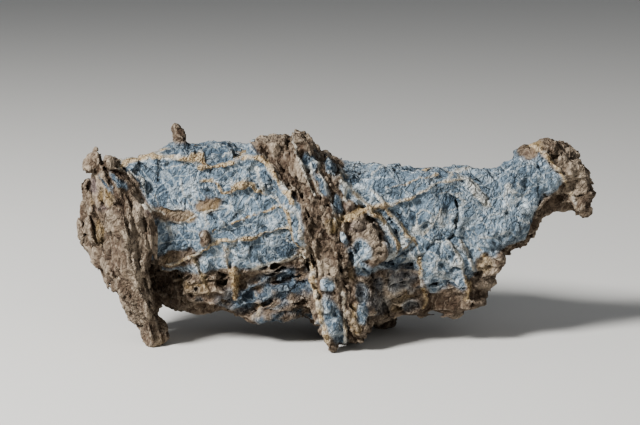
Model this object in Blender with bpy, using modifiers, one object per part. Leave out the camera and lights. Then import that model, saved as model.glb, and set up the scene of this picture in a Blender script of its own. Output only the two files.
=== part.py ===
"""A fengling stone: one piece of desert limestone, cut and undercut by wind-blown sand.

A slab of hard blue-grey limestone with raised veins stands on a brown, crusted underside. A thick brown plate
crosses its left end, a brown band crosses it near the middle, and a thin wing with a hooked knob reaches right.
It stands on four worn feet. Units are metres, +Z up, +X along the stone, and -Y is the side with the blue face.
"""

import itertools

import bmesh
import bpy
import numpy as np

# The driving dimension, in metres. Everything below is in millimetres on a stone of DRAWN_LENGTH, and scales with it.
STONE_LENGTH = 0.230
DRAWN_LENGTH = 229.6
MM = STONE_LENGTH / DRAWN_LENGTH

# The resting plane is worn into the feet at this height above the lowest points drawn.
RESTING_HEIGHT = 0.0
# Fineness of the common skin before it is thinned out, and the number of triangles after.
SKIN_STEP = 1.3
FACE_COUNT = 9600
COLOUR = (0.33, 0.31, 0.28, 1.0)

UP = np.array([0.0, 0.0, 1.0])
AWAY = np.array([0.0, 1.0, 0.0])
RIGHT = np.array([1.0, 0.0, 0.0])

# The blue slab as seen from the front: (x, z) along its top edge and along its lower lip.
SLAB_TOP = [
    (-100, 76), (-94, 80.5), (-86, 83), (-78, 86), (-72, 89), (-59, 90), (-47, 91.5), (-45.5, 88), (-41, 87.5),
    (-36, 91), (-30, 91), (-24, 89), (-12, 87.5), (-6, 86.5), (-2, 83), (4, 78.5), (12, 79.5), (20, 81), (24, 78.5),
    (30, 77.5), (42, 78), (60, 78), (72, 79), (80, 83.5), (87, 89), (91, 91), (96, 89.5), (101, 85.5), (104, 82),
]
SLAB_LIP = [
    (-100, 64), (-94, 60), (-82, 38), (-74, 32.5), (-64, 33.5), (-58, 33), (-50, 36.5), (-44, 37), (-40, 34.5),
    (-36, 34.5), (-24, 38.5), (-14, 41), (-7, 36), (4, 33), (22, 36.5), (30, 36.5), (37, 35.5), (40, 29.5),
    (42, 24.5), (46, 25.5), (50, 28), (56, 26.5), (62, 32), (66, 34), (69, 40.5), (76, 44.5), (84, 46.5), (86, 53),
    (88, 58.5), (91, 66), (97, 69), (101, 73), (104, 75),
]
# Its face is nearly flat in depth: (x, y) from above.
SLAB_FRONT = [(-100, -17), (-75, -21), (-45, -24), (0, -26), (40, -24), (75, -20), (104, -16)]
SLAB_THICKNESS = 13

# The rock behind the slab, from its own top down to the underside.
CORE_TOP_DROP = 3
CORE_BOTTOM = [
    (-96, 52), (-84, 40), (-80, 30), (-60, 26), (-20, 26), (10, 24), (40, 25), (62, 28), (70, 34), (73, 37),
    (78, 39.5), (87, 41.5), (90, 49.5), (92, 55.5), (96, 58), (101, 58.5), (106, 62),
]
CORE_FRONT = [(-96, -8), (-75, -14), (-45, -17), (0, -18), (45, -15), (80, -12), (106, -10)]
CORE_BACK = [(-96, 18), (-75, 27), (-45, 31), (0, 33), (28, 29), (50, 20), (75, 12), (95, 9), (106, 7)]

# A second slab of blue rock at the back.
BACK_SLAB = {
    "top": [(-70, 78), (-50, 83), (-20, 84), (10, 76), (40, 70), (62, 66)],
    "bottom": [(-70, 44), (-50, 36), (-10, 30), (30, 34), (50, 42), (62, 52)],
    "front": [(-70, 18), (62, 8)],
    "back": [(-70, 29), (-45, 35), (0, 37), (30, 33), (62, 19)],
}

# The crusted underside, set back below the lip.
CRUST_BOTTOM = [
    (-86, 20), (-77, 13), (-71, 10), (-67, 12.5), (-62, 10), (-58, 13), (-48, 13), (-38, 9), (-30, 12), (-24, 10),
    (-14, 10), (-8, 7), (0, 5), (12, 4.5), (20, 8), (28, 11), (36, 15), (50, 14), (60, 15), (66, 20), (70, 28),
]
CRUST_TOP = [(-86, 44), (-66, 40), (0, 40), (40, 36), (62, 36), (70, 34)]
CRUST_FRONT = [(-86, 3), (-77, 0), (-68, -8), (-60, -16), (-30, -15), (0, -20), (15, -20), (30, -13), (70, -10)]
CRUST_BACK = [(-86, 14), (-77, 18), (-60, 24), (-20, 28), (20, 26), (45, 17), (70, 8)]

# The plate across the left end leans back as it rises. Its layers lie in its own plane.
PLATE_ALONG = np.array([-0.5, 0.866, 0.0])
PLATE_NORMAL = np.array([-0.866, -0.5, 0.0])
# z, x and y of the middle, half the width along the plate, half the thickness.
PLATE_SECTIONS = [
    (-2, -79.5, -21, 3.5, 2.2), (5, -82, -19, 7, 3.2), (11, -84.5, -17, 10.5, 4.0), (17, -87, -16, 14, 4.8),
    (24, -90.5, -15, 17.5, 5.8), (31, -93, -14, 20.5, 7.2), (38, -94.5, -13, 22.5, 8.6), (46, -95.2, -12, 25, 9.8),
    (53, -96, -12, 26, 10), (60, -96.5, -12, 25, 9.5), (68, -98, -13, 20, 8.6), (74, -99, -14, 16.5, 7.2),
    (79, -100.5, -14, 12, 5.2), (83, -104, -12, 6, 3.4), (86, -106.5, -11, 2.5, 1.6),
]
# The layers: how far out along the normal, growth of the width, and lowest and highest z.
PLATE_LAYERS = [
    (7.4, 0.93, 20, 80), (4.2, 1.02, -3, 86), (0.6, 0.96, 12, 84), (-3.2, 1.04, 26, 83), (-7.2, 0.97, 31, 80),
]
LAYER_HALF_THICKNESS = 1.35
GROOVE_DEPTH = 4.0
# Where the plate ends on the face, as (z, x), and where the brown knob begins at the other end.
PLATE_EDGE = [(0, -74), (24, -78), (50, -74), (80, -88)]
KNOB_EDGE = [(50, 100), (70, 104), (92, 92)]

# The brown band crosses the stone through its whole depth: z, left and right edges, front and back.
BAND_SECTIONS = [
    (94, -20, -15, -20, -6), (90, -30, -13, -26, 14), (85, -28, -10, -30, 26), (78, -24, -6, -32, 33),
    (70, -19, -2, -33, 36), (62, -16, 2, -33.5, 37), (54, -14, 5, -34, 37), (46, -12, 6, -34, 36),
    (38, -10, 8, -33, 34), (30, -9, 13, -32, 30), (22, -8, 15, -31.5, 24), (12, -4, 15, -30, 14),
    (4, -1, 13, -28, -4), (2.5, 1, 12, -27, -10),
]

# Lumps, ribs, legs and pegs. Each row is the line it follows, half its width and half its depth at both ends.
STRANDS = {
    "front_leg": ([(-9, -27, 25), (-4, -30, 10), (-0.5, -31, -2)], (4.6, 2.6), (5.5, 3.2)),
    "back_leg": ([(14, 3, 36), (19, 11, 18), (22.5, 16.5, 4), (23, 17, -2)], (14, 4.2), (11, 4.2)),
    "back_leg_root": ([(36, 12, 32), (28, 17, 12)], (7, 3.4), (7, 4)),
    "left_back_leg": ([(-90, 3, 42), (-88, 8, 22), (-85.5, 12, 4), (-85, 12.5, -2)], (13, 4.4), (8, 4)),
    "left_foot_heel": ([(-78, -10, 24), (-76, -15, 10), (-76.3, -18, 0.5)], (3.4, 1.9), (4, 2.6)),
    "lobe": ([(3, -27, 66), (9, -30, 58), (15, -34, 50), (17.5, -34, 42), (15, -32, 38)], (6, 4.6), (5, 4)),
    "lobe_inner": ([(4, -29, 58), (7, -32, 50), (8.5, -32, 41), (10, -30, 38)], (4.6, 2.8), (5, 3)),
    "lower_boss": ([(6, -26, 38), (7.5, -28, 20), (8, -28, 5)], (9, 6.6), (6, 4)),
    "boss_rib": ([(14, -26, 34), (17, -26, 20), (15, -27, 9)], (2.8, 2.4), (5, 3)),
    "boss_rib_left": ([(-7, -29, 38), (-4, -31, 22), (1, -31, 7)], (2.8, 2.0), (5, 3)),
    "end_knob_top": ([(97, -6, 85), (108, -5, 76)], (6, 5), (10, 11)),
    "end_knob_side": ([(108, -5, 78), (111, -5, 62)], (4.2, 4.6), (12, 10)),
    "end_knob_hook": ([(109.5, -6, 64), (111.5, -7, 57)], (4.4, 2.8), (8, 5)),
    "end_knob_roof": ([(92, 2, 62), (110, 1, 61)], (3, 3), (8, 7)),
    "wing_knob": ([(82, 0, 80), (88, -2, 86.5)], (6, 4.2), (8, 5)),
    "top_bump_left": ([(-33, -14, 86), (-29, -15, 91.5)], (4.2, 3.2), (8, 4)),
    "top_bump_middle": ([(-24, -16, 86), (-23, -17, 92)], (3.4, 2.6), (8, 4)),
    "top_bump_right": ([(-17, -14, 86), (-15.5, -16, 95)], (5.0, 2.8), (9, 4)),
    "shoulder_bump": ([(-3, -14, 78), (0, -14, 84.5)], (4, 1.8), (6, 3)),
    "shoulder_bump_high": ([(-9, -14, 84), (-8.5, -15, 89.5)], (3.6, 2.0), (7, 3)),
    "peg": ([(-66, -9, 84), (-68.5, -9, 92), (-70.5, -9, 99.5)], (3.2, 2.3), (4.0, 2.6)),
    "corner_knob": ([(-102, -11, 76), (-106, -10, 85.5)], (4.0, 1.6), (5, 2)),
    "corner_knob_low": ([(-96, -12, 76), (-98, -10, 85)], (3.0, 1.5), (4, 2)),
    "band_strand_left": (
        [(-29, -22, 88), (-24, -28, 79), (-18, -30, 65), (-14, -31, 52), (-12, -31, 44)], (2.4, 2.2), (6, 6)),
    "band_strand_middle": (
        [(-21, -24, 92), (-17, -30, 83), (-10, -33, 68), (-7, -34, 54), (-7, -33, 38)], (2.4, 2.4), (6, 6)),
    "band_strand_right": (
        [(-14, -24, 92), (-9, -29, 82), (-3, -32, 68), (1, -34, 56), (1, -33, 40), (3, -31, 30)], (2.1, 2.4), (6, 6)),
    "band_strand_edge": ([(-5, -23, 84), (0, -26, 76), (4, -27, 66)], (1.8, 2.0), (5, 5)),
    "porous_lump": ([(-69, -16, 27), (-62, -19, 26.5), (-56, -18, 27.5)], (6, 6), (6, 5)),
    "crust_rib_left": ([(-57, -22, 40), (-55, -20, 29), (-52.5, -18, 16)], (2.0, 2.6), (5, 4)),
    "crust_rib_middle": ([(-45, -22, 39), (-44, -19, 28), (-43, -17, 16)], (1.8, 2.6), (5, 4)),
    "ledge_high": ([(-40, -17, 30), (-28, -19, 32.5), (-14, -22, 38)], (1.4, 1.6), (6, 6)),
    "ledge_middle": ([(-38, -16, 22.5), (-24, -18, 25.5), (-8, -21, 30)], (1.6, 1.8), (6, 6)),
    "ledge_low": ([(-42, -15, 13), (-30, -17, 13.5), (-12, -18, 17)], (3.0, 3.0), (6, 6)),
    "hanging_column": ([(23, -17, 33), (24, -18, 22), (28, -17, 8)], (4.6, 2.8), (6, 4)),
    "hanging_ring": ([(34, -17, 30), (35, -18, 20), (33, -17, 12.5)], (5.5, 3.5), (6, 4.5)),
    "hanging_slab_left": ([(37, -12, 30), (39, -11, 8)], (4, 3.0), (9, 7)),
    "hanging_slab": ([(50, -14, 30), (52, -13, 12)], (8.5, 6.5), (7, 6)),
    "hanging_rib": ([(55, -20, 36), (56, -19, 24), (57.5, -17, 13.5)], (2.0, 2.4), (4.5, 4)),
    "hanging_lump": ([(63, -14, 30), (63.5, -14, 16.5)], (5.0, 3.5), (7, 5)),
    "end_column": ([(70, -15, 42), (68.5, -14, 25)], (5.0, 3.5), (7, 5)),
    "end_web": ([(67, -8, 42), (66.5, -9, 29)], (4.5, 3.5), (8, 6)),
    "small_stud": ([(-57, -22, 54), (-56.5, -26.5, 50), (-57, -25, 46)], (1.8, 1.5), (3, 2.5)),
    "back_ledge_left": ([(-74, 26, 50), (-50, 33, 42), (-28, 36, 38), (-12, 36, 34)], (2.0, 2.2), (5, 5)),
    "back_ledge_right": ([(14, 34, 34), (34, 30, 37), (52, 23, 45), (66, 16, 50)], (2.2, 1.8), (5, 4)),
    "back_rib_left": ([(-66, 27, 70), (-48, 34, 66), (-30, 36, 69), (-14, 37, 64)], (1.8, 2.0), (4, 4)),
    "back_rib_right": ([(12, 36, 66), (26, 34, 58), (36, 31, 46)], (1.8, 1.8), (4, 4)),
    "back_rib_wing": ([(30, 33, 66), (48, 26, 62), (66, 17, 60)], (1.6, 1.6), (4, 4)),
    "back_strand": ([(-22, 24, 88), (-12, 37, 74), (-4, 40, 56), (0, 39, 38), (4, 33, 26)], (3, 3.4), (5, 5)),
    "back_strand_left": ([(-27, 22, 86), (-20, 35, 76), (-12, 38, 60), (-9, 37, 44)], (2.2, 2.4), (4, 5)),
    "back_lump_left": ([(-60, 22, 30), (-58, 24, 16)], (6, 4.5), (7, 6)),
    "back_lump_middle": ([(-34, 27, 30), (-36, 27, 14)], (5, 4), (7, 6)),
    "back_lump_band": ([(-14, 29, 30), (-12, 29, 13)], (6, 4), (7, 5)),
    "back_lump_right": ([(46, 16, 32), (45, 16, 17)], (5, 4), (7, 5)),
}

# Raised veins, as lines over the front of the blue slab: (x, z).
VEINS = [
    [(-94, 78), (-82, 82), (-68, 84.5), (-58, 82.5), (-50, 80.5), (-40, 84), (-33, 84.5), (-27, 80), (-18, 66)],
    [(-62, 74), (-56, 75.5), (-51, 70), (-46, 72), (-42, 75), (-37, 73), (-32, 69)],
    [(-76, 60), (-64, 61), (-56, 64)],
    [(-60, 51), (-48, 55.5), (-38, 58), (-30, 62)],
    [(-76, 37.5), (-66, 39), (-58, 45), (-48, 50), (-36, 50.5), (-20, 56)],
    [(-28, 80), (-22, 70), (-17, 58), (-14, 50), (-10, 46)],
    [(7, 76), (14, 71), (22, 64), (32, 53), (36, 46), (38, 38)],
    [(14, 62), (24, 64.5), (38, 70), (50, 75), (66, 76)],
    [(15, 62), (24, 53), (28, 47)],
    [(36, 51), (42, 60), (46, 66)],
    [(22, 72), (34, 75), (46, 76)],
    [(50, 75), (60, 70), (72, 60), (80, 50)],
    [(38, 46), (48, 54), (56, 52), (64, 40)],
]
VEIN_HEIGHT = 1.3
VEIN_HALF_WIDTH = 1.2
# The band's layers stand across this direction.
BAND_NORMAL = np.array([0.93, 0.0, 0.37])


def clear_scene():
    for obj in list(bpy.data.objects):
        bpy.data.objects.remove(obj)


def new_collection(name):
    collection = bpy.data.collections.new(name)
    bpy.context.scene.collection.children.link(collection)
    return collection


def stone_material():
    """Weathered limestone: one dull grey-brown, as a sand-blasted stone has from a distance."""
    material = bpy.data.materials.new("weathered_limestone")
    material.use_nodes = True
    shader = material.node_tree.nodes["Principled BSDF"]
    shader.inputs["Base Color"].default_value = COLOUR
    shader.inputs["Roughness"].default_value = 0.85
    shader.inputs["Metallic"].default_value = 0.0
    return material


def ring(count, squareness):
    """Cosine and sine round a section, pulled out towards a square as squareness rises from 0 to 1."""
    angle = np.linspace(0, 2 * np.pi, count, endpoint=False)
    power = 1 - 0.6 * squareness
    across = np.sign(np.cos(angle)) * np.abs(np.cos(angle)) ** power
    deep = np.sign(np.sin(angle)) * np.abs(np.sin(angle)) ** power
    return across, deep


def loft(middles, half_across, half_deep, across_axis, deep_axis, squareness, around=28):
    """Points and faces of a closed skin through unlike sections, with a flat cap at each end."""
    across, deep = ring(around, squareness)
    points = (
        np.asarray(middles, float)[:, None, :]
        + np.multiply.outer(np.outer(half_across, across), across_axis)
        + np.multiply.outer(np.outer(half_deep, deep), deep_axis)
    ).reshape(-1, 3)
    count = len(middles)
    faces = []
    for row in range(count - 1):
        here, there = row * around, (row + 1) * around
        for i in range(around):
            j = (i + 1) % around
            faces.append((here + i, here + j, there + j, there + i))
    faces.append(tuple(range(around))[::-1])
    faces.append(tuple(range((count - 1) * around, count * around)))
    return points, faces


def along(line, x):
    """Value of a drawn line, given as (x, value) points, at each x."""
    xs, values = np.array(line, float).T
    return np.interp(x, xs, values)


def slab(top, bottom, front, back, squareness, step=1.5):
    """A block drawn from the front by its top and bottom edges, and from above by its front and back."""
    x = np.arange(bottom[0][0], bottom[-1][0] + step / 2, step)
    z_top, z_bottom = along(top, x), along(bottom, x)
    y_front, y_back = along(front, x), along(back, x)
    middles = np.column_stack([x, (y_front + y_back) / 2, (z_top + z_bottom) / 2])
    half_tall = (z_top - z_bottom) / 2
    half_deep = (y_back - y_front) / 2
    return loft(middles, half_tall, half_deep, UP, AWAY, squareness)


def plate_piece(out, growth, low, high, thick):
    """One leaf of the plate, between two heights, set out along the plate's normal."""
    rows = np.array(PLATE_SECTIONS, float)
    z = np.linspace(max(low, rows[0, 0]), min(high, rows[-1, 0]), 44)
    x, y, half_wide, half_thick = (np.interp(z, rows[:, 0], rows[:, k]) for k in range(1, 5))
    share = (z - z[0]) / (z[-1] - z[0])
    end = np.sqrt(np.clip(1 - (2 * share - 1) ** 8, 0.05, 1))
    offset = out * half_thick / rows[:, 4].max()
    middles = np.column_stack([x, y, z]) + np.outer(offset, PLATE_NORMAL)
    half = half_thick - 1.0 if thick is None else np.full(len(z), thick)
    return loft(middles, half_wide * growth * end, np.maximum(half, 1.0), PLATE_ALONG, PLATE_NORMAL, 0.6)


def plate():
    """A narrower slab that carries the layers, and the layers, whose edges stand out past it."""
    widest = max(row[3] for row in PLATE_SECTIONS)
    yield plate_piece(0, 1 - GROOVE_DEPTH / widest, -3, 84, None)
    for out, growth, low, high in PLATE_LAYERS:
        yield plate_piece(out, growth, low, high, LAYER_HALF_THICKNESS)


def band():
    rows = np.array(BAND_SECTIONS[::-1], float)
    z = np.linspace(rows[0, 0], rows[-1, 0], 60)
    left, right, front, back = (np.interp(z, rows[:, 0], rows[:, k]) for k in range(1, 5))
    middles = np.column_stack([(left + right) / 2, (front + back) / 2, z])
    return loft(middles, (right - left) / 2, (back - front) / 2, RIGHT, AWAY, 0.35)


def strand(line, half_wide, half_deep):
    """A bar with rounded ends along a line. It is wide across its run, seen from the front, and deep along Y."""
    line = np.array(line, float)
    run = line[-1] - line[0]
    length = np.r_[0, np.cumsum(np.linalg.norm(np.diff(line, axis=0), axis=1))]
    share = (1 - np.cos(np.linspace(0, np.pi, 25))) / 2
    middles = np.column_stack([np.interp(share * length[-1], length, line[:, k]) for k in range(3)])
    round_end = np.sqrt(np.clip(1 - (2 * share - 1) ** 8, 0.04, 1))
    wide = np.interp(share, [0, 1], half_wide) * round_end
    deep = np.interp(share, [0, 1], half_deep) * round_end
    across_axis = np.array([run[2], 0, -run[0]]) / np.hypot(run[0], run[2])
    return loft(middles, wide, deep, across_axis, AWAY, 0.2, around=16)


def masses():
    core_top = [(x, z - CORE_TOP_DROP) for x, z in SLAB_TOP]
    slab_back = [(x, y + SLAB_THICKNESS) for x, y in SLAB_FRONT]
    yield slab(SLAB_TOP, SLAB_LIP, SLAB_FRONT, slab_back, 0.6)
    yield slab(core_top, CORE_BOTTOM, CORE_FRONT, CORE_BACK, 0.25)
    yield slab(CRUST_TOP, CRUST_BOTTOM, CRUST_FRONT, CRUST_BACK, 0.35)
    yield slab(*BACK_SLAB.values(), 0.5)
    yield from plate()
    yield band()
    for row in STRANDS.values():
        yield strand(*row)


def joined_masses(collection):
    """All the masses as one object, still passing through each other."""
    points, faces, count = [], [], 0
    for some_points, some_faces in masses():
        points.append(some_points)
        faces.extend(tuple(i + count for i in face) for face in some_faces)
        count += len(some_points)
    mesh = bpy.data.meshes.new("masses")
    mesh.from_pydata((np.concatenate(points) * MM).tolist(), [], faces)
    tidy = bmesh.new()
    tidy.from_mesh(mesh)
    bmesh.ops.recalc_face_normals(tidy, faces=tidy.faces)
    tidy.to_mesh(mesh)
    tidy.free()
    obj = bpy.data.objects.new("masses", mesh)
    collection.objects.link(obj)
    return obj


def evaluated_mesh(obj):
    graph = bpy.context.evaluated_depsgraph_get()
    return bpy.data.meshes.new_from_object(obj.evaluated_get(graph))


def one_skin(obj):
    """The masses grown together: a single skin over their union, its seams eased."""
    remesh = obj.modifiers.new("grow_together", "REMESH")
    remesh.mode = "VOXEL"
    remesh.voxel_size = SKIN_STEP * MM
    ease = obj.modifiers.new("ease_seams", "SMOOTH")
    ease.factor = 0.5
    ease.iterations = 3
    return evaluated_mesh(obj)


def lattice_value(cell, seed):
    """A fixed random number from -1 to 1 for each cell of a cubic lattice."""
    mixed = cell[:, 0] * 374761393 + cell[:, 1] * 668265263 + cell[:, 2] * 1440670441 + seed * 97241
    mixed = mixed & 0xFFFFFFFF
    mixed = ((mixed ^ (mixed >> 13)) * 1274126177) & 0xFFFFFFFF
    return ((mixed ^ (mixed >> 16)) & 0xFFFF) / 32767.5 - 1


def noise(points, wavelength, seed):
    """Smooth random relief from -1 to 1 at points in millimetres."""
    scaled = points / wavelength + seed * 7.31
    cell = np.floor(scaled).astype(np.int64)
    part = scaled - cell
    part = part * part * (3 - 2 * part)
    total = np.zeros(len(points))
    for corner in itertools.product((0, 1), repeat=3):
        weight = np.prod(np.where(corner, part, 1 - part), axis=1)
        total += weight * lattice_value(cell + corner, seed)
    return total


def distance_to_line(points, line):
    """Distance in the front view from each (x, z) point to a drawn line."""
    nearest = np.full(len(points), np.inf)
    for start, end in itertools.pairwise(np.array(line, float)):
        run = end - start
        share = np.clip((points - start) @ run / (run @ run), 0, 1)
        nearest = np.minimum(nearest, np.linalg.norm(points - start - share[:, None] * run, axis=1))
    return nearest


def crust_share(points):
    """1 on brown crust and 0 on blue limestone, from where a point in millimetres lies."""
    x, y, z = points.T
    wander = 2.5 * noise(points, 9, 3)
    on_plate = x < along(PLATE_EDGE, z) + wander
    below_lip = z < along(SLAB_LIP, x) - 1 - wander
    rows = np.array(BAND_SECTIONS[::-1], float)
    left, right = (np.interp(z, rows[:, 0], rows[:, k]) for k in (1, 2))
    on_band = (x > left + wander) & (x < right + wander)
    on_knob = x > along(KNOB_EDGE, z) - wander
    return (on_plate | below_lip | on_band | on_knob).astype(float)


def layers(points, normal, spacing, seed):
    """Thin layers seen on edge: relief that changes every few millimetres across them, and slowly along them."""
    across = points @ normal + 1.2 * noise(points, 14, seed)
    squeezed = points / 16 + np.outer(across / spacing, normal)
    return noise(squeezed, 1.0, seed + 1)


def add_relief(mesh):
    """Moves the skin along its normals: broad lumps, rough crust, layers on edge, and the raised veins."""
    count = len(mesh.vertices)
    points, normals = np.empty(count * 3), np.empty(count * 3)
    mesh.vertices.foreach_get("co", points)
    mesh.vertices.foreach_get("normal", normals)
    points = points.reshape(-1, 3) / MM
    normals = normals.reshape(-1, 3)
    crust = crust_share(points)
    on_plate = points[:, 0] < along(PLATE_EDGE, points[:, 2])
    relief = 1.2 * noise(points, 21, 11)
    relief += (0.4 + 1.0 * crust) * noise(points, 8.5, 12)
    relief += 0.7 * crust * noise(points, 4.5, 13)
    relief += 1.5 * on_plate * layers(points, PLATE_NORMAL, 3.2, 21)
    relief += 1.0 * crust * ~on_plate * layers(points, BAND_NORMAL, 3.0, 31)
    wander = np.column_stack([noise(points, 8, 41), noise(points, 8, 42)])
    front_view = points[:, [0, 2]] + 1.6 * wander
    veins = np.zeros(count)
    for line in VEINS:
        away = distance_to_line(front_view, line)
        veins = np.maximum(veins, np.exp(-((away / VEIN_HALF_WIDTH) ** 2)))
    relief += VEIN_HEIGHT * veins * (1 - crust)
    moved = (points + normals * relief[:, None]) * MM
    mesh.vertices.foreach_set("co", moved.ravel())
    mesh.update()


def centre_on_feet(mesh):
    """Puts the middle of the stone's length and depth on the Z axis. Its height is left as it is."""
    count = len(mesh.vertices)
    points = np.empty(count * 3)
    mesh.vertices.foreach_get("co", points)
    points = points.reshape(-1, 3)
    middle = (points.min(0) + points.max(0)) / 2
    middle[2] = 0
    mesh.vertices.foreach_set("co", (points - middle).ravel())
    mesh.update()


def resting_plane(collection):
    """A block below the resting plane, which wears the feet flat."""
    size = 1.5 * STONE_LENGTH
    block = bmesh.new()
    bmesh.ops.create_cube(block, size=size)
    bmesh.ops.translate(block, vec=(0, 0, RESTING_HEIGHT * MM - size / 2), verts=block.verts)
    mesh = bpy.data.meshes.new("resting_plane")
    block.to_mesh(mesh)
    block.free()
    cutter = bpy.data.objects.new("resting_plane", mesh)
    cutter.hide_render = True
    cutter.display_type = "WIRE"
    collection.objects.link(cutter)
    return cutter


def build():
    clear_scene()
    collection = new_collection("fengling_stone")
    helpers = new_collection("cutters")
    rough = joined_masses(helpers)
    mesh = one_skin(rough)
    bpy.data.objects.remove(rough)
    add_relief(mesh)
    centre_on_feet(mesh)
    mesh.name = "stone"
    stone = bpy.data.objects.new("stone", mesh)
    stone.data.materials.append(stone_material())
    collection.objects.link(stone)
    thin_out = stone.modifiers.new("thin_out", "DECIMATE")
    thin_out.ratio = FACE_COUNT / (2 * len(mesh.polygons))
    wear = stone.modifiers.new("wear_feet", "BOOLEAN")
    wear.operation = "DIFFERENCE"
    wear.solver = "EXACT"
    wear.object = resting_plane(helpers)
    return stone


build()
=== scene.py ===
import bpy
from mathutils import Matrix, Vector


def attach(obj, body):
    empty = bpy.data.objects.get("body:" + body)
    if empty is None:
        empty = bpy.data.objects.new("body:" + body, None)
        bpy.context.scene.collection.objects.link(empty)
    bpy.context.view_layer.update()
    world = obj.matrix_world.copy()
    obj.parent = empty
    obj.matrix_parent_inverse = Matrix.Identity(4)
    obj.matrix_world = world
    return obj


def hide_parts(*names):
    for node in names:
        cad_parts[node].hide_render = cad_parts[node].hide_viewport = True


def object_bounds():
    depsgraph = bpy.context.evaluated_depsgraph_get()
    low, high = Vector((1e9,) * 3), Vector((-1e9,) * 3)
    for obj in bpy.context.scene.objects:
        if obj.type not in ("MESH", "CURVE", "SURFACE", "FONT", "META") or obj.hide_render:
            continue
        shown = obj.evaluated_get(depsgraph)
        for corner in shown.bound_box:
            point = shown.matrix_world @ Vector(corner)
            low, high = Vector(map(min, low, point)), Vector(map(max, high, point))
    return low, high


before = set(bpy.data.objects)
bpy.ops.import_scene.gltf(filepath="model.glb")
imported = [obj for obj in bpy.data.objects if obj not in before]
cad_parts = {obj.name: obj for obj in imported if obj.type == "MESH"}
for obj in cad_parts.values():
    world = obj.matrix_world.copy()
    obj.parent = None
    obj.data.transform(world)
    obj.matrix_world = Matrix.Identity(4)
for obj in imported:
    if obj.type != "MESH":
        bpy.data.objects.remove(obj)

from concurrent.futures import ThreadPoolExecutor
import functools
import itertools
import math

import bpy
import numpy as np
from mathutils import Vector

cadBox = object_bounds()
mm = 0.001

# The stone is worked as a block of distances to its surface, on a grid, so that sand can cut under its
# ledges. Lengths are in millimetres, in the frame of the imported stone: x along it, y away, z up.
block = {
    "step": 0.54,  # fineness of the grid
    "margin": 5.13,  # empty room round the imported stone
    "melt": 0.8,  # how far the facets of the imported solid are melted
    "silt": 3.6,  # how far they are where its ledges and strands are to be closed up
    "reach": 3.2,  # distances are kept up to here
    "triangles": 197000,
    "frontFirst": 0.15,  # how much rather triangles are saved at the back than on the face
}
step = block["step"]
lowCorner = np.array([c / mm for c in cadBox[0]]) - block["margin"]
highCorner = np.array([c / mm for c in cadBox[1]]) + block["margin"]
gridShape = tuple(np.ceil((highCorner - lowCorner) / step).astype(int))


def unit(vector):
    vector = np.asarray(vector, np.float32)
    return vector / np.linalg.norm(vector)


def smooth(low, high, value):
    # 0 below low and 1 above high, with an even S between; high may be the lower one.
    t = np.clip((value - low) / (high - low), 0, 1)
    return t * t * (3 - 2 * t)


def along(table, at):
    # Straight lines through a table of (position, value) rows.
    rows = np.array(table, np.float32)
    return np.interp(at, rows[:, 0], rows[:, 1]).astype(np.float32)


def stretched(p, direction, factor):
    # The same points with their part along the direction shortened, so that a pattern on them is drawn out.
    direction = unit(direction)
    return p - np.outer(p @ direction, direction * np.float32(1 - 1 / factor))


@functools.lru_cache(None)
def randomSlopes(seed):
    slopes = np.random.default_rng(seed).normal(size=(3, 32 ** 3)).astype(np.float32)
    return slopes / np.linalg.norm(slopes, axis=0)


@functools.lru_cache(None)
def randomPoints(seed):
    return np.random.default_rng(seed).random((7, 32 ** 3)).astype(np.float32)


def cubeOf(p, size):
    # Where each point lies in its cube of the given size, and the parts of the numbers of that cube and of
    # the next and the last one along each axis, which are added up to look into the random tables.
    q = np.ascontiguousarray(p.T, np.float32) / np.float32(size)
    base = np.floor(q)
    number = base.astype(np.int32)
    parts = [[((number[i] + n) & 31) << shift for n in (0, 1, -1)] for i, shift in enumerate((10, 5, 0))]
    return q - base, parts


def noise(p, size, seed):
    # Gradient noise, -1 to 1: each corner of a cube of the given size has a random slope, and a point blends
    # the eight slopes round it by smooth steps.
    slopes = randomSlopes(seed)
    part, number = cubeOf(p, size)
    high = part * part * part * (part * (part * 6 - 15) + 10)
    weight = (1 - high, high)
    total = np.zeros(len(p), np.float32)
    for a, b, c in itertools.product((0, 1), repeat=3):
        at = number[0][a] + number[1][b] + number[2][c]
        rise = slopes[0][at] * (part[0] - a) + slopes[1][at] * (part[1] - b) + slopes[2][at] * (part[2] - c)
        total += weight[a][0] * weight[b][1] * weight[c][2] * rise
    return total * 1.5


def ridges(p, size, seed):
    # 1 along sharp crests where two layers of noise pass zero, falling to 0 in the hollows between.
    return sum((1 - np.abs(noise(p, size / 2 ** i, seed + i))) ** 2 / 2 ** i for i in range(2)) / 1.5


def clefts(p, size, seed, power):
    # 1 along narrow lines where the noise passes zero, and 0 a little way off them.
    return (1 - np.minimum(np.abs(noise(p, size, seed)), 1)) ** power


def warped(p, size, amount, seed):
    # The same points pushed about by noise, so that a pattern on them bends.
    return p + amount * np.stack([noise(p, size, seed + n) for n in range(3)], 1)


def cells(p, size, seed):
    # One random point in each cube of the given size. Returns the distance to the nearest, the gap between
    # the two nearest, the way from the nearest, all as shares of the size, and four random numbers of the
    # nearest's own.
    table = randomPoints(seed)
    part, number = cubeOf(p, size)
    first, second = np.full(len(p), 9, np.float32), np.full(len(p), 9, np.float32)
    nearest = np.zeros(len(p), np.int32)
    way = np.zeros((3, len(p)), np.float32)
    for a, b, c in itertools.product((0, 1, -1), repeat=3):
        at = number[0][a] + number[1][b] + number[2][c]
        off = [part[i] - n - table[i][at] for i, n in enumerate((a, b, c))]
        distance = off[0] * off[0] + off[1] * off[1] + off[2] * off[2]
        closer = distance < first
        second = np.where(closer, first, np.minimum(second, distance))
        nearest = np.where(closer, at, nearest)
        for i in range(3):
            way[i] = np.where(closer, off[i], way[i])
        first = np.minimum(first, distance)
    first, second = np.sqrt(first), np.sqrt(second)
    return first, second - first, way.T, table[3:, nearest].T


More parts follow.
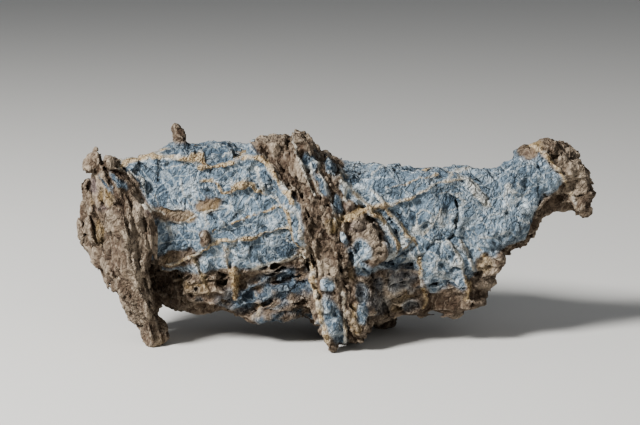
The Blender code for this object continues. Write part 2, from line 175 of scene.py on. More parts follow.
def inParts(work, *arrays):
    # Does the work on short stretches of the arrays, four at a time, and joins the results.
    stretch = 50000
    with ThreadPoolExecutor(4) as pool:
        done = list(pool.map(lambda at: work(*(array[at:at + stretch] for array in arrays)),
                             range(0, len(arrays[0]), stretch)))
    return [np.concatenate(parts) for parts in zip(*done)]


def cellRows(p, rows, direction, seed, bend):
    # The depth and the random cells of each row of (size, depth, how far drawn out), at points bent by noise.
    for n, (size, depth, drawn) in enumerate(rows):
        bent = warped(p, size * bend[0], size * bend[1], seed + 10 * n)
        yield depth, *cells(stretched(bent, direction, drawn), size, seed + 10 * n + 5)


def bowls(p, rows, direction, seed, lean=0.0):
    # Rounded hollows that meet in sharp crests: the floor of each cell rises with the square of the distance
    # from its point, and each has its own depth. Where they lean, each is tilted so that its lower rim stands
    # out like a scale's. Returns the height and how much of a crest each point is.
    height, crest = np.zeros((2, len(p)), np.float32)
    for depth, away, gap, way, own in cellRows(p, rows, direction, seed, (1.1, 0.2)):
        deep = depth * (0.25 + 0.75 * own[:, 0])
        height += deep * (np.minimum(away / 0.75, 1) ** 2 - 0.5 - lean * way[:, 2])
        if lean:
            mark = smooth(0.3, 0.02, gap) * smooth(0.05, -0.35, way[:, 2])
        else:
            mark = smooth(0.16, 0.0, gap) * smooth(0.3, 0.7, away) * (0.3 + 0.7 * own[:, 0])
        crest = np.maximum(crest, mark)
    return height, crest


def facets(p, rows, direction, seed):
    # Broken faces: each cell is a flat face with its own height and tilt. Returns the height and how near
    # each point is to a break between two faces.
    height, edge = np.zeros((2, len(p)), np.float32)
    for depth, away, gap, way, own in cellRows(p, rows, direction, seed, (0.9, 0.15)):
        height += depth * (own[:, 0] - 0.5 + 0.9 * np.einsum("ij,ij->i", way, own[:, 1:] * 2 - 1))
        edge = np.maximum(edge, smooth(0.12, 0.0, gap))
    return height, edge


def lineFrame(x, z, line):
    # Seen from the front: distance to a line of straight pieces, which side of it (1 to the left of the way
    # it runs), and how far along it the nearest point is, 0 to 1.
    best = np.full(len(x), 99, np.float32)
    side, place = np.zeros_like(best), np.zeros_like(best)
    for n, ((ax, az), (bx, bz)) in enumerate(zip(line[:-1], line[1:])):
        dx, dz = bx - ax, bz - az
        t = np.clip(((x - ax) * dx + (z - az) * dz) / (dx * dx + dz * dz), 0, 1)
        away = np.hypot(x - ax - t * dx, z - az - t * dz)
        closer = away < best
        side = np.where(closer, np.sign(dx * (z - az) - dz * (x - ax)), side)
        place = np.where(closer, (n + t) / (len(line) - 1), place)
        best = np.minimum(best, away)
    return best, side, place


def spaced(line, gap):
    # Points about a gap apart along a line of straight pieces.
    corners = np.array(line, np.float32)
    length = np.concatenate([[0], np.cumsum(np.hypot(*np.diff(corners, axis=0).T))])
    at = np.linspace(0, length[-1], int(length[-1] / gap) + 1)
    return np.stack([np.interp(at, length, corners[:, n]) for n in range(2)], 1)


def nearLine(x, z, share, line, margin):
    # The points of the front within a margin of a line's box.
    xs, zs = zip(*line)
    return np.flatnonzero((share > 0) & (x > min(xs) - margin) & (x < max(xs) + margin)
                          & (z > min(zs) - margin) & (z < max(zs) + margin))


def ellipseRadius(x, z, midX, midZ, halfLength, halfHeight, slope):
    # 0 in the middle of a leaning ellipse, 1 at its edge.
    dx, dz = x - midX, z - midZ
    if halfHeight > halfLength:
        dx = dx - slope * dz
    else:
        dz = dz - slope * dx
    return np.hypot(dx / halfLength, dz / halfHeight)


def spot(x, z, row):
    # 1 in the middle of a leaning ellipse, 0 at its edge and beyond.
    return np.clip(1 - ellipseRadius(x, z, *row), 0, 1)


def meshArrays(obj):
    # The corners in millimetres and the triangles of an object's mesh.
    mesh = obj.data
    mesh.calc_loop_triangles()
    points = np.zeros(len(mesh.vertices) * 3, np.float32)
    mesh.vertices.foreach_get("co", points)
    triangles = np.zeros(len(mesh.loop_triangles) * 3, np.int32)
    mesh.loop_triangles.foreach_get("vertices", triangles)
    return points.reshape(-1, 3) / mm, triangles.reshape(-1, 3)


def filled(points, triangles):
    # How full of rock each grid cube is. Lines along x run through every (y, z) of the grid; where one passes
    # through a triangle, everything to the left of that gains 1 if the triangle faces right, and loses 1 if
    # left.
    a, b, c = (points[triangles[:, i]] for i in range(3))
    low = np.minimum(np.minimum(a, b), c)[:, 1:]
    high = np.maximum(np.maximum(a, b), c)[:, 1:]
    first = np.ceil((low - lowCorner[1:]) / step).astype(int)
    span = np.maximum(np.floor((high - lowCorner[1:]) / step).astype(int) + 1 - first, 0)
    count = span[:, 0] * span[:, 1]
    owner = np.repeat(np.arange(len(triangles)), count)
    order = np.arange(count.sum()) - np.repeat(np.cumsum(count) - count, count)
    row = first[owner, 0] + order // span[owner, 1]
    column = first[owner, 1] + order % span[owner, 1]
    py = lowCorner[1] + row * step - a[owner, 1]
    pz = lowCorner[2] + column * step - a[owner, 2]
    e, f = (b - a)[owner], (c - a)[owner]
    area = e[:, 1] * f[:, 2] - e[:, 2] * f[:, 1]
    with np.errstate(divide="ignore", invalid="ignore"):
        u = (py * f[:, 2] - pz * f[:, 1]) / area
        v = (e[:, 1] * pz - e[:, 2] * py) / area
        hit = (u >= 0) & (v >= 0) & (u + v <= 1)
    x = (a[owner, 0] + u * e[:, 0] + v * f[:, 0])[hit]
    sign = np.sign(area[hit])
    place = (x - lowCorner[0]) / step + 0.5
    cube = np.floor(place).astype(int)
    full = np.zeros((gridShape[0] + 1,) + gridShape[1:], np.float32)
    part = np.zeros_like(full)
    np.add.at(full, (cube, row[hit], column[hit]), sign)
    np.add.at(part, (cube, row[hit], column[hit]), sign * (place - cube))
    toTheRight = np.cumsum(full[::-1], axis=0)[::-1]
    return np.clip(toTheRight[1:] + part[:-1], 0, 1)


def blurred(grid, radius, pitch):
    # Each value spread over its neighbours on a bell curve, one axis after another.
    reach = int(np.ceil(radius * 3 / pitch))
    weights = np.exp(-0.5 * (np.arange(-reach, reach + 1) * pitch / radius) ** 2)
    weights = (weights / weights.sum()).astype(np.float32)
    for axis in range(3):
        line = np.moveaxis(grid, axis, 0)
        size = len(line)
        total = line * weights[reach]
        for k in range(1, reach + 1):
            total[k:] += weights[reach + k] * line[:size - k]
            total[:size - k] += weights[reach - k] * line[k:]
        grid = np.moveaxis(total, 0, axis)
    return np.ascontiguousarray(grid)


def distanceGrid(fill, melt):
    # A bell curve turns the edge of the rock into an even ramp. Read backwards, the ramp gives the distance.
    ramp = blurred(fill, melt, step)
    distance = np.linspace(-block["reach"], block["reach"], 161)
    height = np.array([0.5 * math.erfc(d / (melt * math.sqrt(2))) for d in distance])
    return np.interp(ramp.ravel(), height[::-1], distance[::-1]).astype(np.float32).reshape(ramp.shape)


def slopeAt(field, index):
    # Direction in which the distance grows at the given grid points: the way the surface faces.
    normal = np.stack([slope[index] for slope in np.gradient(field)], 1)
    return normal / np.maximum(np.linalg.norm(normal, axis=1, keepdims=True), 1e-6)


# Where one kind of rock ends and another begins, seen from the front.
regions = {
    "lip": [  # (x, z) of the blue slab's lower edge
        (-100, 64), (-94, 60), (-82, 38), (-73.6, 32.5), (-63.6, 33.5), (-57.6, 33), (-49.6, 36.5),
        (-43.6, 37), (-39.6, 34.5), (-35.6, 34.5), (-23.6, 38.5), (-13.6, 41), (-6.6, 36), (4.4, 33),
        (22.4, 36.5), (30.4, 36.5), (37.4, 35.5), (40.4, 29.5), (42.4, 24.5), (46.4, 25.5), (50.4, 28),
        (56.5, 26.5), (62.5, 32), (66.5, 34), (69.5, 40.5), (76.5, 44.5), (84.5, 46.5), (86.5, 53),
        (88.5, 58.5), (91.5, 66), (97.5, 69), (101.5, 73), (106, 76),
    ],
    "backLip": [  # the same for the blue slab at the back
        (-110, 52), (-70, 48), (-50, 40), (-10, 35), (14, 34), (34, 37), (52, 45), (66, 51), (90, 60),
        (112, 68),
    ],
    "bandLeft": [  # (z, x) of the brown band's edges
        (0, -2), (2, -2), (10, -5), (23, -8), (32, -10.5), (40, -12.5), (45, -14.5), (51, -13), (58, -13.5),
        (66, -14.8), (70, -17.8), (75, -23.5), (84, -29), (90, -36), (96, -40),
    ],
    "bandRight": [
        (0, 14), (12, 15.5), (28, 14), (38, 8.5), (46, 6.5), (54, 5.5), (62, 5), (70, 5), (76, 4), (82, 2),
        (86, -1), (96, -8),
    ],
    "knob": [  # (z, x) where the brown knob begins
        (50, 97), (62, 105), (72, 102), (80, 96), (86, 90), (92, 84),
    ],
    "wander": 1.8,  # how far these edges stray
}

# In the tables below a place is an ellipse seen from the front: x and z of its middle, half length, half
# height and slope. Here are brown patches on the blue face, with how flat they are.
patches = [
    (-71, 59.4, 12, 3.8, -0.04, 1), (-54.5, 64.6, 7, 3.6, 0.16, 1), (-69, 39.4, 12, 4.8, 0.2, 1),
    (-56.2, 50.2, 2.4, 4.4, -0.2, 0.6), (87, 87.5, 6, 3.6, 0.4, 0.5), (13.6, 51.5, 9.6, 14, -0.42, 0.2),
    (8, 63, 8, 4.5, -0.2, 0.4), (66.5, 37, 5, 5.5, 0, 0.3), (-13.5, 43.5, 4, 4, 0, 0.5),
    (-97, 84, 5.5, 3.4, -0.3, 0),
]

# Blue rock that shows through brown.
windows = [
    (-10.8, 84, 3, 6, -0.3), (-5.2, 75, 2.8, 6, -0.55), (1.4, 66.5, 2.4, 5, -0.25),
    (-1.2, 81.5, 2.6, 4.6, -0.3), (-16.5, 54, 1.8, 6, -0.2), (11.8, 47.3, 4.6, 5.4, -0.3),
    (-21.8, 70.5, 1.6, 5, -0.5), (4.6, 73, 2.4, 5, -0.4), (-2.5, 31, 4, 4.5, 0), (0.2, 14.6, 5.4, 15, -0.3),
    (-99, 74, 1, 4, -1.2), (-93.5, 75.5, 1.6, 4.5, -1.1), (12.5, 18, 2.6, 6, 0), (4.5, 52, 1.5, 4.5, -0.3),
]

# Rock under the lip that is stained blue-grey in its hollows, and painted darker there as painted shade, with
# how much.
washesAndShade = [
    (-25, 26, 27, 10, 0.35, 0.9), (-46, 21, 8, 7, 0, 0.5), (-20, 13, 20, 4, 0.1, 1), (28, 30, 14, 7, 0, 0.4),
    (18, 20, 9, 9, 0, 0.3), (48, 29, 10, 3, 0, 0.7), (34, 18, 5, 5, 0, 0.5),
]

# Hollows cut into the rock: the middle, half length and half height, the depth of the cut, the slope, and how
# blue the rock is inside.
hollows = [
    (-76, 20, 5.6, 11, 9, -0.15, 0), (-49, 30, 3.4, 4.6, 1.4, 0, 0), (-63, 23.6, 1.7, 1.5, 1.6, 0, 0),
    (-67, 24.8, 1.5, 1.4, 1.4, 0, 0.1), (-59.4, 21.6, 1.8, 1.6, 1.5, 0, 0.3),
    (-64.6, 27.6, 1.6, 1.3, 1.4, 0, 0), (-60.5, 26.6, 1.5, 1.2, 1.3, 0, 0.2),
    (-68.5, 29, 1.4, 1.1, 1.2, 0, 0), (44.2, 28.6, 3.6, 1.3, 2.4, 0, 0.6),
    (37.6, 27.7, 1.4, 1.3, 1.4, 0, 0.3), (34.6, 18.2, 3.6, 3, 2.2, 0, 0.1),
    (28.3, 24.1, 1.6, 1.8, 1.6, 0, 0.1), (23, 16, 1.6, 6, 3, -0.2, 0), (12.3, 27, 3, 5, 1.4, -0.1, 0.6),
    (20.4, 28.4, 2.2, 3, 1, 0.2, 0.1), (61, 26, 1.4, 5, 2.4, 0, 0), (7.2, 43, 1.8, 4, 2.4, -0.2, 0),
    (11.8, 47.3, 3.6, 4, 1.2, -0.2, 1), (47, 14, 5, 2, 1.4, 0.1, 0), (66, 27, 2.2, 2, 1.6, 0, 0),
    (-27.8, 94.2, 1, 2.6, 60, 0.2, 0), (-19.6, 92.6, 1.9, 4, 150, 0.2, 0),
    (-40.5, 89.6, 3.8, 5.4, 150, 0.1, 0), (-2.5, 91.5, 7.5, 7.5, 150, -0.35, 0),
    (5, 84.6, 9.5, 9.3, 150, -0.5, 0), (-5.2, 88.6, 4.2, 5.2, 150, 0, 0), (-25, 95.4, 6.5, 4, 150, 0.1, 0),
    (-14, 98.4, 5, 4.6, 150, 0, 0), (-3.6, 87, 1.2, 2.6, 16, 0, 0), (0.6, 84, 1.1, 2.4, 14, 0, 0),
    (-101.6, 84.5, 1.3, 3.6, 10, 0, 0),
]

# Lumps and rolls that stand on the rock: the line in (x, z) of their middles, radius, and how far they are
# sunk.
lumps = [
    ([(-66, 86), (-67.3, 90.6), (-68.6, 94.2), (-69.4, 96.6)], 2.1), ([(-35, 87)], 2.6), ([(-31.5, 89)], 2.4),
    ([(-25.8, 90.4)], 3.4), ([(-14.4, 90.2)], 4.6), ([(-7.6, 85.6)], 2.4), ([(-1.7, 82.6)], 2.4),
    ([(2.7, 78.6)], 1.8), ([(-105.8, 80.5)], 4.2, 0.3), ([(-105.4, 84)], 2.8, 0.2),
    ([(-104.9, 86.6)], 1.4, 0.2), ([(-98.7, 82.5)], 2.6, 0.3), ([(19, 34), (30, 33.4), (38, 32)], 4.4, -0.5),
    ([(21, 28), (33, 26.4)], 3.4, -0.2), ([(24, 22), (24, 16)], 2.6, 0.1), ([(-94.8, 81.5)], 2.1, 0.3),
    ([(-24, 31), (-14, 35.4)], 2.6, 0), ([(-56.6, 51.6)], 1.8, 0), ([(-55.8, 48.8)], 2.3, 0.1),
    ([(66.5, 36.7)], 3.2), ([(-12.6, 38.5)], 2.2), ([(-15.6, 67), (-13.4, 58), (-11.6, 50)], 3.2, 0.4),
    ([(9.6, 57)], 3.6), ([(6.5, 65)], 2.8),
    ([(14, 62), (18.3, 57.5), (21, 51.3), (21, 45), (18.8, 40.5), (14, 38)], 1.6), ([(26.6, 45.6)], 2),
    ([(35.5, 47.2)], 2), ([(-44, 35), (-43.6, 29.1), (-44.5, 22)], 2.6, 0.6),
    ([(-57.5, 36), (-55, 27.7), (-52.5, 19)], 2.4, 0.6), ([(25, 22), (27.7, 14), (30.5, 8)], 3),
    ([(62, 40), (66, 41)], 1.6), ([(69, 33), (68, 27)], 2.4),
]

plate = {
    "outward": (-0.866, -0.5, 0.0),  # square to its layers
    "sections": [  # z, then x and y of the middle, then half the thickness
        (-2, -79.2, -23.9, 2.2), (11, -84.3, -19.9, 4.0), (24, -90.3, -17.9, 5.8), (38, -94.3, -15.9, 8.6),
        (53, -95.8, -14.9, 10.0), (68, -97.8, -15.9, 8.6), (79, -100.3, -16.9, 5.2), (90, -106, -14.9, 2.0),
    ],
    "layer": 3.6,  # from one layer's edge to the next
    "groove": 1.3,
    "grain": (0.3, 0.0, -0.95),  # the way its fibres run
    "ridge": [  # (z, x) where its broad side turns into its edge
        (3, -79), (14.5, -82.5), (25.5, -85), (36.5, -88), (47.5, -90), (58, -91.5), (67.5, -94),
        (76.5, -96.5), (83, -99), (88.5, -101),
    ],
    "facets": [(10.0, 3.0, 1.5), (4.6, 1.4, 1.5)],  # size, depth, and how far drawn out
    "edgeFacets": [(6.0, 2.2, 2.6), (3.0, 1.2, 2.6)],
    "chips": [(2.4, 0.5, 2.0)],
}


def closedUp(field, melted):
    # Fills the slots between the strands of the band and the plate, and eases the ledges under the lip, by
    # going over to the far more melted rock there.
    x = lowCorner[0] + step * np.arange(gridShape[0])[:, None]
    z = lowCorner[2] + step * np.arange(gridShape[2])[None, :]
    front = smooth(6, -2, lowCorner[1] + step * np.arange(gridShape[1]))[None, :, None]
    lip = along(regions["lip"], x)
    left, right = along(regions["bandLeft"], z), along(regions["bandRight"], z)
    inBand = smooth(-2, 2, np.minimum(x - left, right - x))
    niche = smooth(1, -2, z - lip) * smooth(-76, -70, x) * smooth(74, 68, x) * (1 - inBand) * smooth(2, 7, z)
    inPlate = smooth(-70, -76, x) * smooth(88, 82, z)
    ease = 0.8 * np.maximum(niche, 0.9 * inBand * smooth(16, 26, z) * smooth(92, 84, z))
    field = field + (ease[:, None, :] * front * (melted - field)).astype(np.float32)
    filledIn = np.minimum(field, melted + 0.2)
    strands = np.maximum(inBand * smooth(8, 16, z), inPlate)
    return field + (strands[:, None, :] * front * (filledIn - field)).astype(np.float32)


def pooled(grid, size):
    # Mean of each block of size cubes.
    shape = [n // size for n in grid.shape]
    cut = grid[:shape[0] * size, :shape[1] * size, :shape[2] * size]
    return cut.reshape(shape[0], size, shape[1], size, shape[2], size).mean(axis=(1, 3, 5), dtype=np.float32)


def crowding(solid, p, radius, size):
    # How much rock stands round each point, 0 to 1, out to about the radius: a flat face has 0.5, a hollow
    # more.
    near = blurred(solid, radius, step * size)
    q = (p - lowCorner) / (step * size) - (size - 1) / (2 * size)
    base = np.clip(np.floor(q).astype(int), 0, np.array(near.shape) - 2)
    part = np.clip(q - base, 0, 1)
    total = np.zeros(len(p), np.float32)
    for corner in itertools.product((0, 1), repeat=3):
        weight = np.prod([part[:, i] if corner[i] else 1 - part[:, i] for i in range(3)], axis=0)
        total += weight * near[tuple((base + corner).T)]
    return total


def roundAbout(depth, x, z, reach):
    # The slices of the grid round a place on the front surface, the points there, from the place, and a
    # raggedness.
    i, k = int((x - lowCorner[0]) / step), int((z - lowCorner[2]) / step)
    k -= int(np.argmax(depth[i, k::-1] < 90))  # down to where there is rock
    centre = np.array([x, depth[i, k], z])
    low = np.maximum(((centre - reach - lowCorner) / step).astype(int), 0)
    high = np.minimum(((centre + reach - lowCorner) / step).astype(int) + 1, gridShape)
    index = np.meshgrid(*(np.arange(a, b) for a, b in zip(low, high)), indexing="ij")
    off = [index[n] * step + lowCorner[n] - centre[n] for n in range(3)]
    points = np.stack([(off[n] + centre[n]).ravel() for n in range(3)], 1)
    ragged = noise(points, 3.2, 71) + 0.5 * noise(points, 1.7, 72)
    return tuple(slice(a, b) for a, b in zip(low, high)), off, ragged.reshape(off[0].shape)


def carveHollows(field, depth):
    # Takes leaning ellipsoids out of the rock, each with its middle on the surface.
    for x, z, halfLength, halfHeight, cut, slope, blue in hollows:
        here, (dx, dy, dz), ragged = roundAbout(depth, x, z, np.array([halfLength, cut, halfHeight]) + 3)
        across = ellipseRadius(dx, dz, 0, 0, halfLength, halfHeight, slope)
        inner = (np.sqrt(across ** 2 + (dy / cut) ** 2) - 1 + 0.35 * ragged) * min(halfLength, halfHeight)
        field[here] = np.maximum(field[here], -inner)


def addLumps(field, depth):
    # Puts uneven balls on the rock, with their middles a little below its surface. A roll is a row of balls.
    for line, radius, *sunk in lumps:
        sink = sunk[0] if sunk else 0.5
        for x, z in spaced(line, radius * 0.6):
            here, (dx, dy, dz), ragged = roundAbout(depth, x, z - 0.7 * radius, np.full(3, radius + 4))
            away = np.sqrt(dx ** 2 + (dy - sink * radius) ** 2 + (dz - 0.7 * radius) ** 2)
            field[here] = np.minimum(field[here], away - radius + 0.6 * ragged)


def regionShares(p, normal):
    # How much of each kind of rock there is at each point, where crust is every brown rock and niche the rock
    # under the lip, and the signed distance from the middle of the plate.
    x, y, z = p.T
    stray = regions["wander"] * (noise(p, 9, 11) + 0.7 * noise(p, 3.6, 12))
    torn = x + 1.6 * noise(p, 6, 13), z + 1.5 * noise(p, 3.6, 14) + 0.6 * noise(p, 1.6, 15)
    sections = np.array(plate["sections"], np.float32)
    midX, midY, half = (np.interp(z, sections[:, 0], sections[:, n]) for n in (1, 2, 3))
    fromMiddle = ((x - midX) * plate["outward"][0] + (y - midY) * plate["outward"][1]).astype(np.float32)
    inPlate = smooth(-half - 1.2, -half - 0.2, fromMiddle + 0.25 * stray) * smooth(-70, -74, x)
    left, right = along(regions["bandLeft"], z), along(regions["bandRight"], z)
    inBand = smooth(-0.8, 0.8, np.minimum(x - left, right - x) + stray) * (1 - inPlate)
    knob = smooth(-0.8, 0.8, x - along(regions["knob"], z) + stray) * smooth(80, 86, x)
    back = smooth(-8, 16, y)
    aboveLip = z - along(regions["lip"], x) * (1 - back) - along(regions["backLip"], x) * back + 0.8 * stray
    low = smooth(0.8, -0.8, aboveLip)
    under = smooth(-0.35, -0.7, normal[:, 2]) * smooth(-24, -14, y)
    peg = smooth(89.5, 91.5, z) * smooth(-60, -62, x)
    brown = np.maximum.reduce([low, under, inPlate, inBand, knob, peg])
    front = smooth(4, -4, y)
    inside, rim, flat, washAndShade = np.zeros((4, len(p)), np.float32)
    for *ellipse, flatness in patches:
        within = front * smooth(0.0, 0.2, spot(*torn, ellipse))
        brown = np.maximum(brown, within)
        flat = np.maximum(flat, flatness * within)
    for row in windows:
        brown = brown * (1 - front * smooth(0.05, 0.4, spot(*torn, row)))
    for *middle, halfLength, halfHeight, cut, slope, blue in hollows:
        radius = ellipseRadius(x, z, *middle, halfLength, halfHeight, slope) + 0.06 * stray
        within = front * smooth(1.1, 0.8, radius)
        inside = np.maximum(inside, within)
        rim = np.maximum(rim, front * np.exp(-((radius - 1.15) / 0.16) ** 2))
        brown = brown * (1 - blue * within)
    for *ellipse, much in washesAndShade:
        washAndShade = np.maximum(washAndShade, much * front * smooth(0.0, 0.4, spot(x, z, ellipse)))
    niche = front * low * (1 - inBand) * (1 - inPlate)
    return {"plate": inPlate, "band": inBand, "crust": brown, "fromMiddle": fromMiddle, "front": front,
            "inside": inside, "rim": rim, "flat": flat, "niche": niche,
            "washAndShade": washAndShade * niche * smooth(-0.35, 0.1, noise(p, 6, 95)),
            "lipEdge": front * smooth(1.0, 0.2, np.abs(aboveLip - 0.9))}


# Veins of calcite and iron that the sand left standing on the face: the line in (x, z), height, half width,
# how ochre and how white they are. Where a step and its width follow, the rock to the left of a line that
# runs down stands that much higher, and sinks back over the width; below zero it is the rock to the right.
veins = [
    ([(-93, 81.5), (-88, 83.5), (-80, 85), (-72, 84.5), (-63, 84.5), (-58, 85.5)], 1.8, 1.6, 0.8, 1),
    ([(-58, 80.5), (-50, 81.5), (-45, 83), (-40.5, 84.5), (-36, 86), (-32, 85), (-28.5, 83), (-25.5, 79.5),
     (-22.5, 74), (-18, 68.5)], 1.8, 1.2, 1, 0.6), ([(-62, 86), (-58, 84), (-55, 80.5)], 1.5, 1.3, 0.9, 0.5),
    ([(-58.5, 74.5), (-53, 76), (-50.5, 74), (-48.5, 69.5), (-45.5, 70), (-42.5, 72.5), (-40, 74.5),
     (-36, 73.5), (-34.5, 71), (-31, 70)], 1.4, 0.9, 0.9, 0.7),
    ([(-41.5, 73), (-38.5, 74.6), (-36, 73.3)], 1.9, 2, 1, 0.4),
    ([(-76, 57), (-66, 56.5), (-60, 59.5), (-54, 62), (-47.5, 64)], 0.5, 0.5, 0.1, 0.8),
    ([(-53, 53), (-48, 54.5), (-42.5, 57), (-37.5, 58.5), (-32, 61), (-28.5, 62), (-21, 66)],
     1, 0.5, 0.9, 0.7),
    ([(-74, 36.5), (-68.5, 38), (-61, 42), (-57.5, 44), (-53.5, 47.5), (-50, 49), (-45.5, 49.5), (-35, 50),
     (-30, 52.5), (-24.5, 54), (-18.5, 55)], 1.3, 0.75, 0.8, 0.9),
    ([(-33.4, 80.8), (-32.1, 75.2), (-30.3, 69.3)], 0.8, 0.7, 0, 1, -1.3, 5),
    ([(-30.3, 69.3), (-22, 65.8), (-17, 62.5)], 0.7, 0.7, 0.2, 1),
    ([(-29, 81.5), (-24.5, 76.7), (-17.5, 68), (-15.8, 62), (-14.5, 55), (-13, 46)], 0.6, 0.9, 0.4, 0.9),
    ([(-20.5, 64), (-19, 58), (-17.5, 51), (-15, 46)], 0.8, 0.8, 0.9, 0.8),
    ([(-36, 35), (-30, 37), (-23, 39), (-17, 41.5), (-12, 41)], 1, 1, 0.4, 1),
    ([(2.5, 60), (10, 61.5), (16.6, 64), (22.5, 64)], 0.6, 1.8, 0.55, 0.4),
    ([(22, 64), (28, 66), (37.5, 70), (43, 73.5), (47.5, 75), (56, 75.5)], 1.2, 0.6, 0.5, 1),
    ([(22, 72.5), (28, 73.5), (33, 75), (46, 77.5)], 0.7, 0.45, 0.6, 0.8),
    ([(2.5, 76), (7, 72.5), (10.5, 68.5), (15, 65)], 1, 0.9, 0.4, 1, 1.3, 5),
    ([(16, 72), (20, 67.5), (23, 63.5)], 0.8, 0.7, 0.2, 0.9, 1, 4),
    ([(16.5, 61), (20.5, 60), (23.6, 55), (26.3, 49.6), (27.6, 46.1), (26.6, 43.5)],
     0.9, 1.1, 0.75, 1, 3.4, 8),
    ([(22.5, 63), (25.4, 60.1), (30.4, 54.2), (32, 51.5), (34.5, 49.8)], 0.8, 0.9, 0.65, 1, 2.6, 6),
    ([(35, 50), (36.5, 45.5), (37.5, 41), (38, 33), (39.5, 26)], 1.4, 1, 0.9, 0.7),
    ([(34.5, 49), (30.8, 45.5), (27, 42.4), (22, 39.5)], 0.3, 0.7, 0.5, 0.5, 2.4, 6),
    ([(36, 60.5), (39, 62.5), (42, 61), (42, 55), (39, 52.5), (36.5, 54.5), (36, 60.5)], 0.6, 0.5, 0.1, 0.9),
    ([(46, 62), (43, 56), (39.5, 52), (36.5, 49.5)], 0.7, 0.7, 0.3, 0.9),
    ([(54, 76.5), (58, 75), (61, 72)], 0.5, 0.8, 0, 0.9),
    ([(60, 73.5), (63, 69.5), (66.5, 64.5)], 0.4, 2, 0, 1, 1, 6),
    ([(49.5, 49), (53, 44), (56.5, 38), (57, 33)], 0.9, 0.8, 0.2, 0.9, 1.3, 5),
    ([(55.5, 48), (59, 42), (62, 34)], 0.9, 0.8, 0.3, 0.9, 1.3, 5),
    ([(62, 45.5), (64, 43), (67, 40.5)], 0.9, 1, 0.7, 0.6),
    ([(86, 90.5), (92.5, 85.5), (99, 78), (103, 72), (107, 63)], 0.9, 1, 0.6, 0.7),
    ([(47, 75), (53, 78), (60, 79.5)], 0.7, 0.7, 0.3, 0.9),
    ([(66, 58), (76, 62), (86, 70)], 0.3, 0.6, 0, 0.7),
    ([(-47.5, 46), (-47, 40), (-45.5, 33)], 0.5, 1.2, 0.5, 0.4, 1.8, 6),
    ([(-62, 41), (-59.5, 35), (-56.5, 29), (-55, 22)], 0.5, 1.2, 0.4, 0.4, 1.8, 6),
    ([(-43.6, 36), (-43.4, 29), (-44, 22)], 0.6, 1.6, 0.7, 0.1, 2, 6),
    ([(-35, 24), (-33, 18), (-34, 12)], 0.7, 1, 0.4, 0.1),
    ([(-90, 79.5), (-84, 75), (-82, 68)], 0.8, 0.8, 0.1, 0.8),
    ([(-84, 66), (-78, 62), (-74, 60)], 0.7, 0.7, 0.1, 0.8),
    ([(-67, 76), (-66, 70), (-62, 64)], 0.6, 0.6, 0, 0.7),
    ([(57, 33), (60, 27), (59, 22)], 0.9, 1.5, 0.7, 0.3, 1.5, 5),
    ([(-10, 38), (-8.5, 28), (-5.5, 17), (-3, 6)], 1.2, 1.2, 0.7, 0.8),
    ([(3.5, 27), (5, 17), (5, 5)], 1, 1, 0.5, 0.9), ([(40, 26), (41, 21), (40, 17)], 0.9, 1.5, 0.5, 0.3),
    ([(-18, 94), (-15.5, 86), (-11.5, 78), (-8, 71)], 0.6, 0.6, 0.1, 0.8, 1.8, 5),
    ([(-7.5, 87), (-6, 80), (-3.5, 74), (-1, 66), (1, 58)], 0.6, 0.6, 0.1, 0.8, 1.2, 4),
    ([(-2, 88), (1.5, 81), (4, 75), (4.6, 68)], 0.7, 0.7, 0.3, 0.9, 1.6, 5),
    ([(-10.5, 84), (-8.5, 77), (-5.5, 71)], 0.8, 0.6, 0.3, 0.7),
]


def veinMarks(p, front):
    # Height of the veins over the face, and how ochre and how white the rock is there. A vein's back is a
    # parabola across, and its height and width swell and fade along it. A step beside it is straight on its
    # high side.
    x, y, z = p.T
    height, step, ochre, white = (np.zeros(len(p), np.float32) for n in range(4))
    swell = 1.3 * noise(p, 5.0, 21) + 0.7 * noise(p, 1.9, 24)
    broken = smooth(-0.6, 0.0, noise(p, 6.5, 27)) * smooth(-0.8, -0.1, noise(p, 2.2, 28))
    wiggle = np.stack([noise(p, 6.0, 22), noise(p, 6.0, 23)], 1) * 0.9
    wiggle += np.stack([noise(p, 2.0, 25), noise(p, 2.0, 26)], 1) * 0.45
    px, pz = x + wiggle[:, 0], z + wiggle[:, 1]
    for line, rise, halfWidth, ochreShare, whiteShare, *beside in veins:
        stepHeight, width = beside or (0, 4)
        near = nearLine(x, z, front, line, width)
        away, side, place = lineFrame(px[near], pz[near], line)
        fade = smooth(0.0, 0.12, place) * smooth(1.0, 0.88, place) * front[near]
        across = away / (halfWidth * np.clip(1.05 + 0.5 * swell[near], 0.4, 2))
        arch = np.clip(1 - across, 0, 1) ** 0.8 * np.clip(1 + 0.8 * swell[near], 0.2, 1.6)
        height[near] = np.maximum(height[near], rise * arch * front[near])
        tint = ochreShare * smooth(0.95, 0.35, across) * broken[near]
        ochre[near] = np.maximum(ochre[near], tint * front[near])
        white[near] = np.maximum(white[near], whiteShare * smooth(1.35, 0.6, across) * front[near])
        if stepHeight:
            high = np.clip(1 - away / width, 0, 1) ** 1.3
            low = -0.45 * smooth(0.0, 0.7, away) * np.exp(-(away / 2.2) ** 2)
            right = side * np.sign(stepHeight) > 0
            step[near] += abs(stepHeight) * fade * np.where(right, low, high)
    return height, step, ochre, white


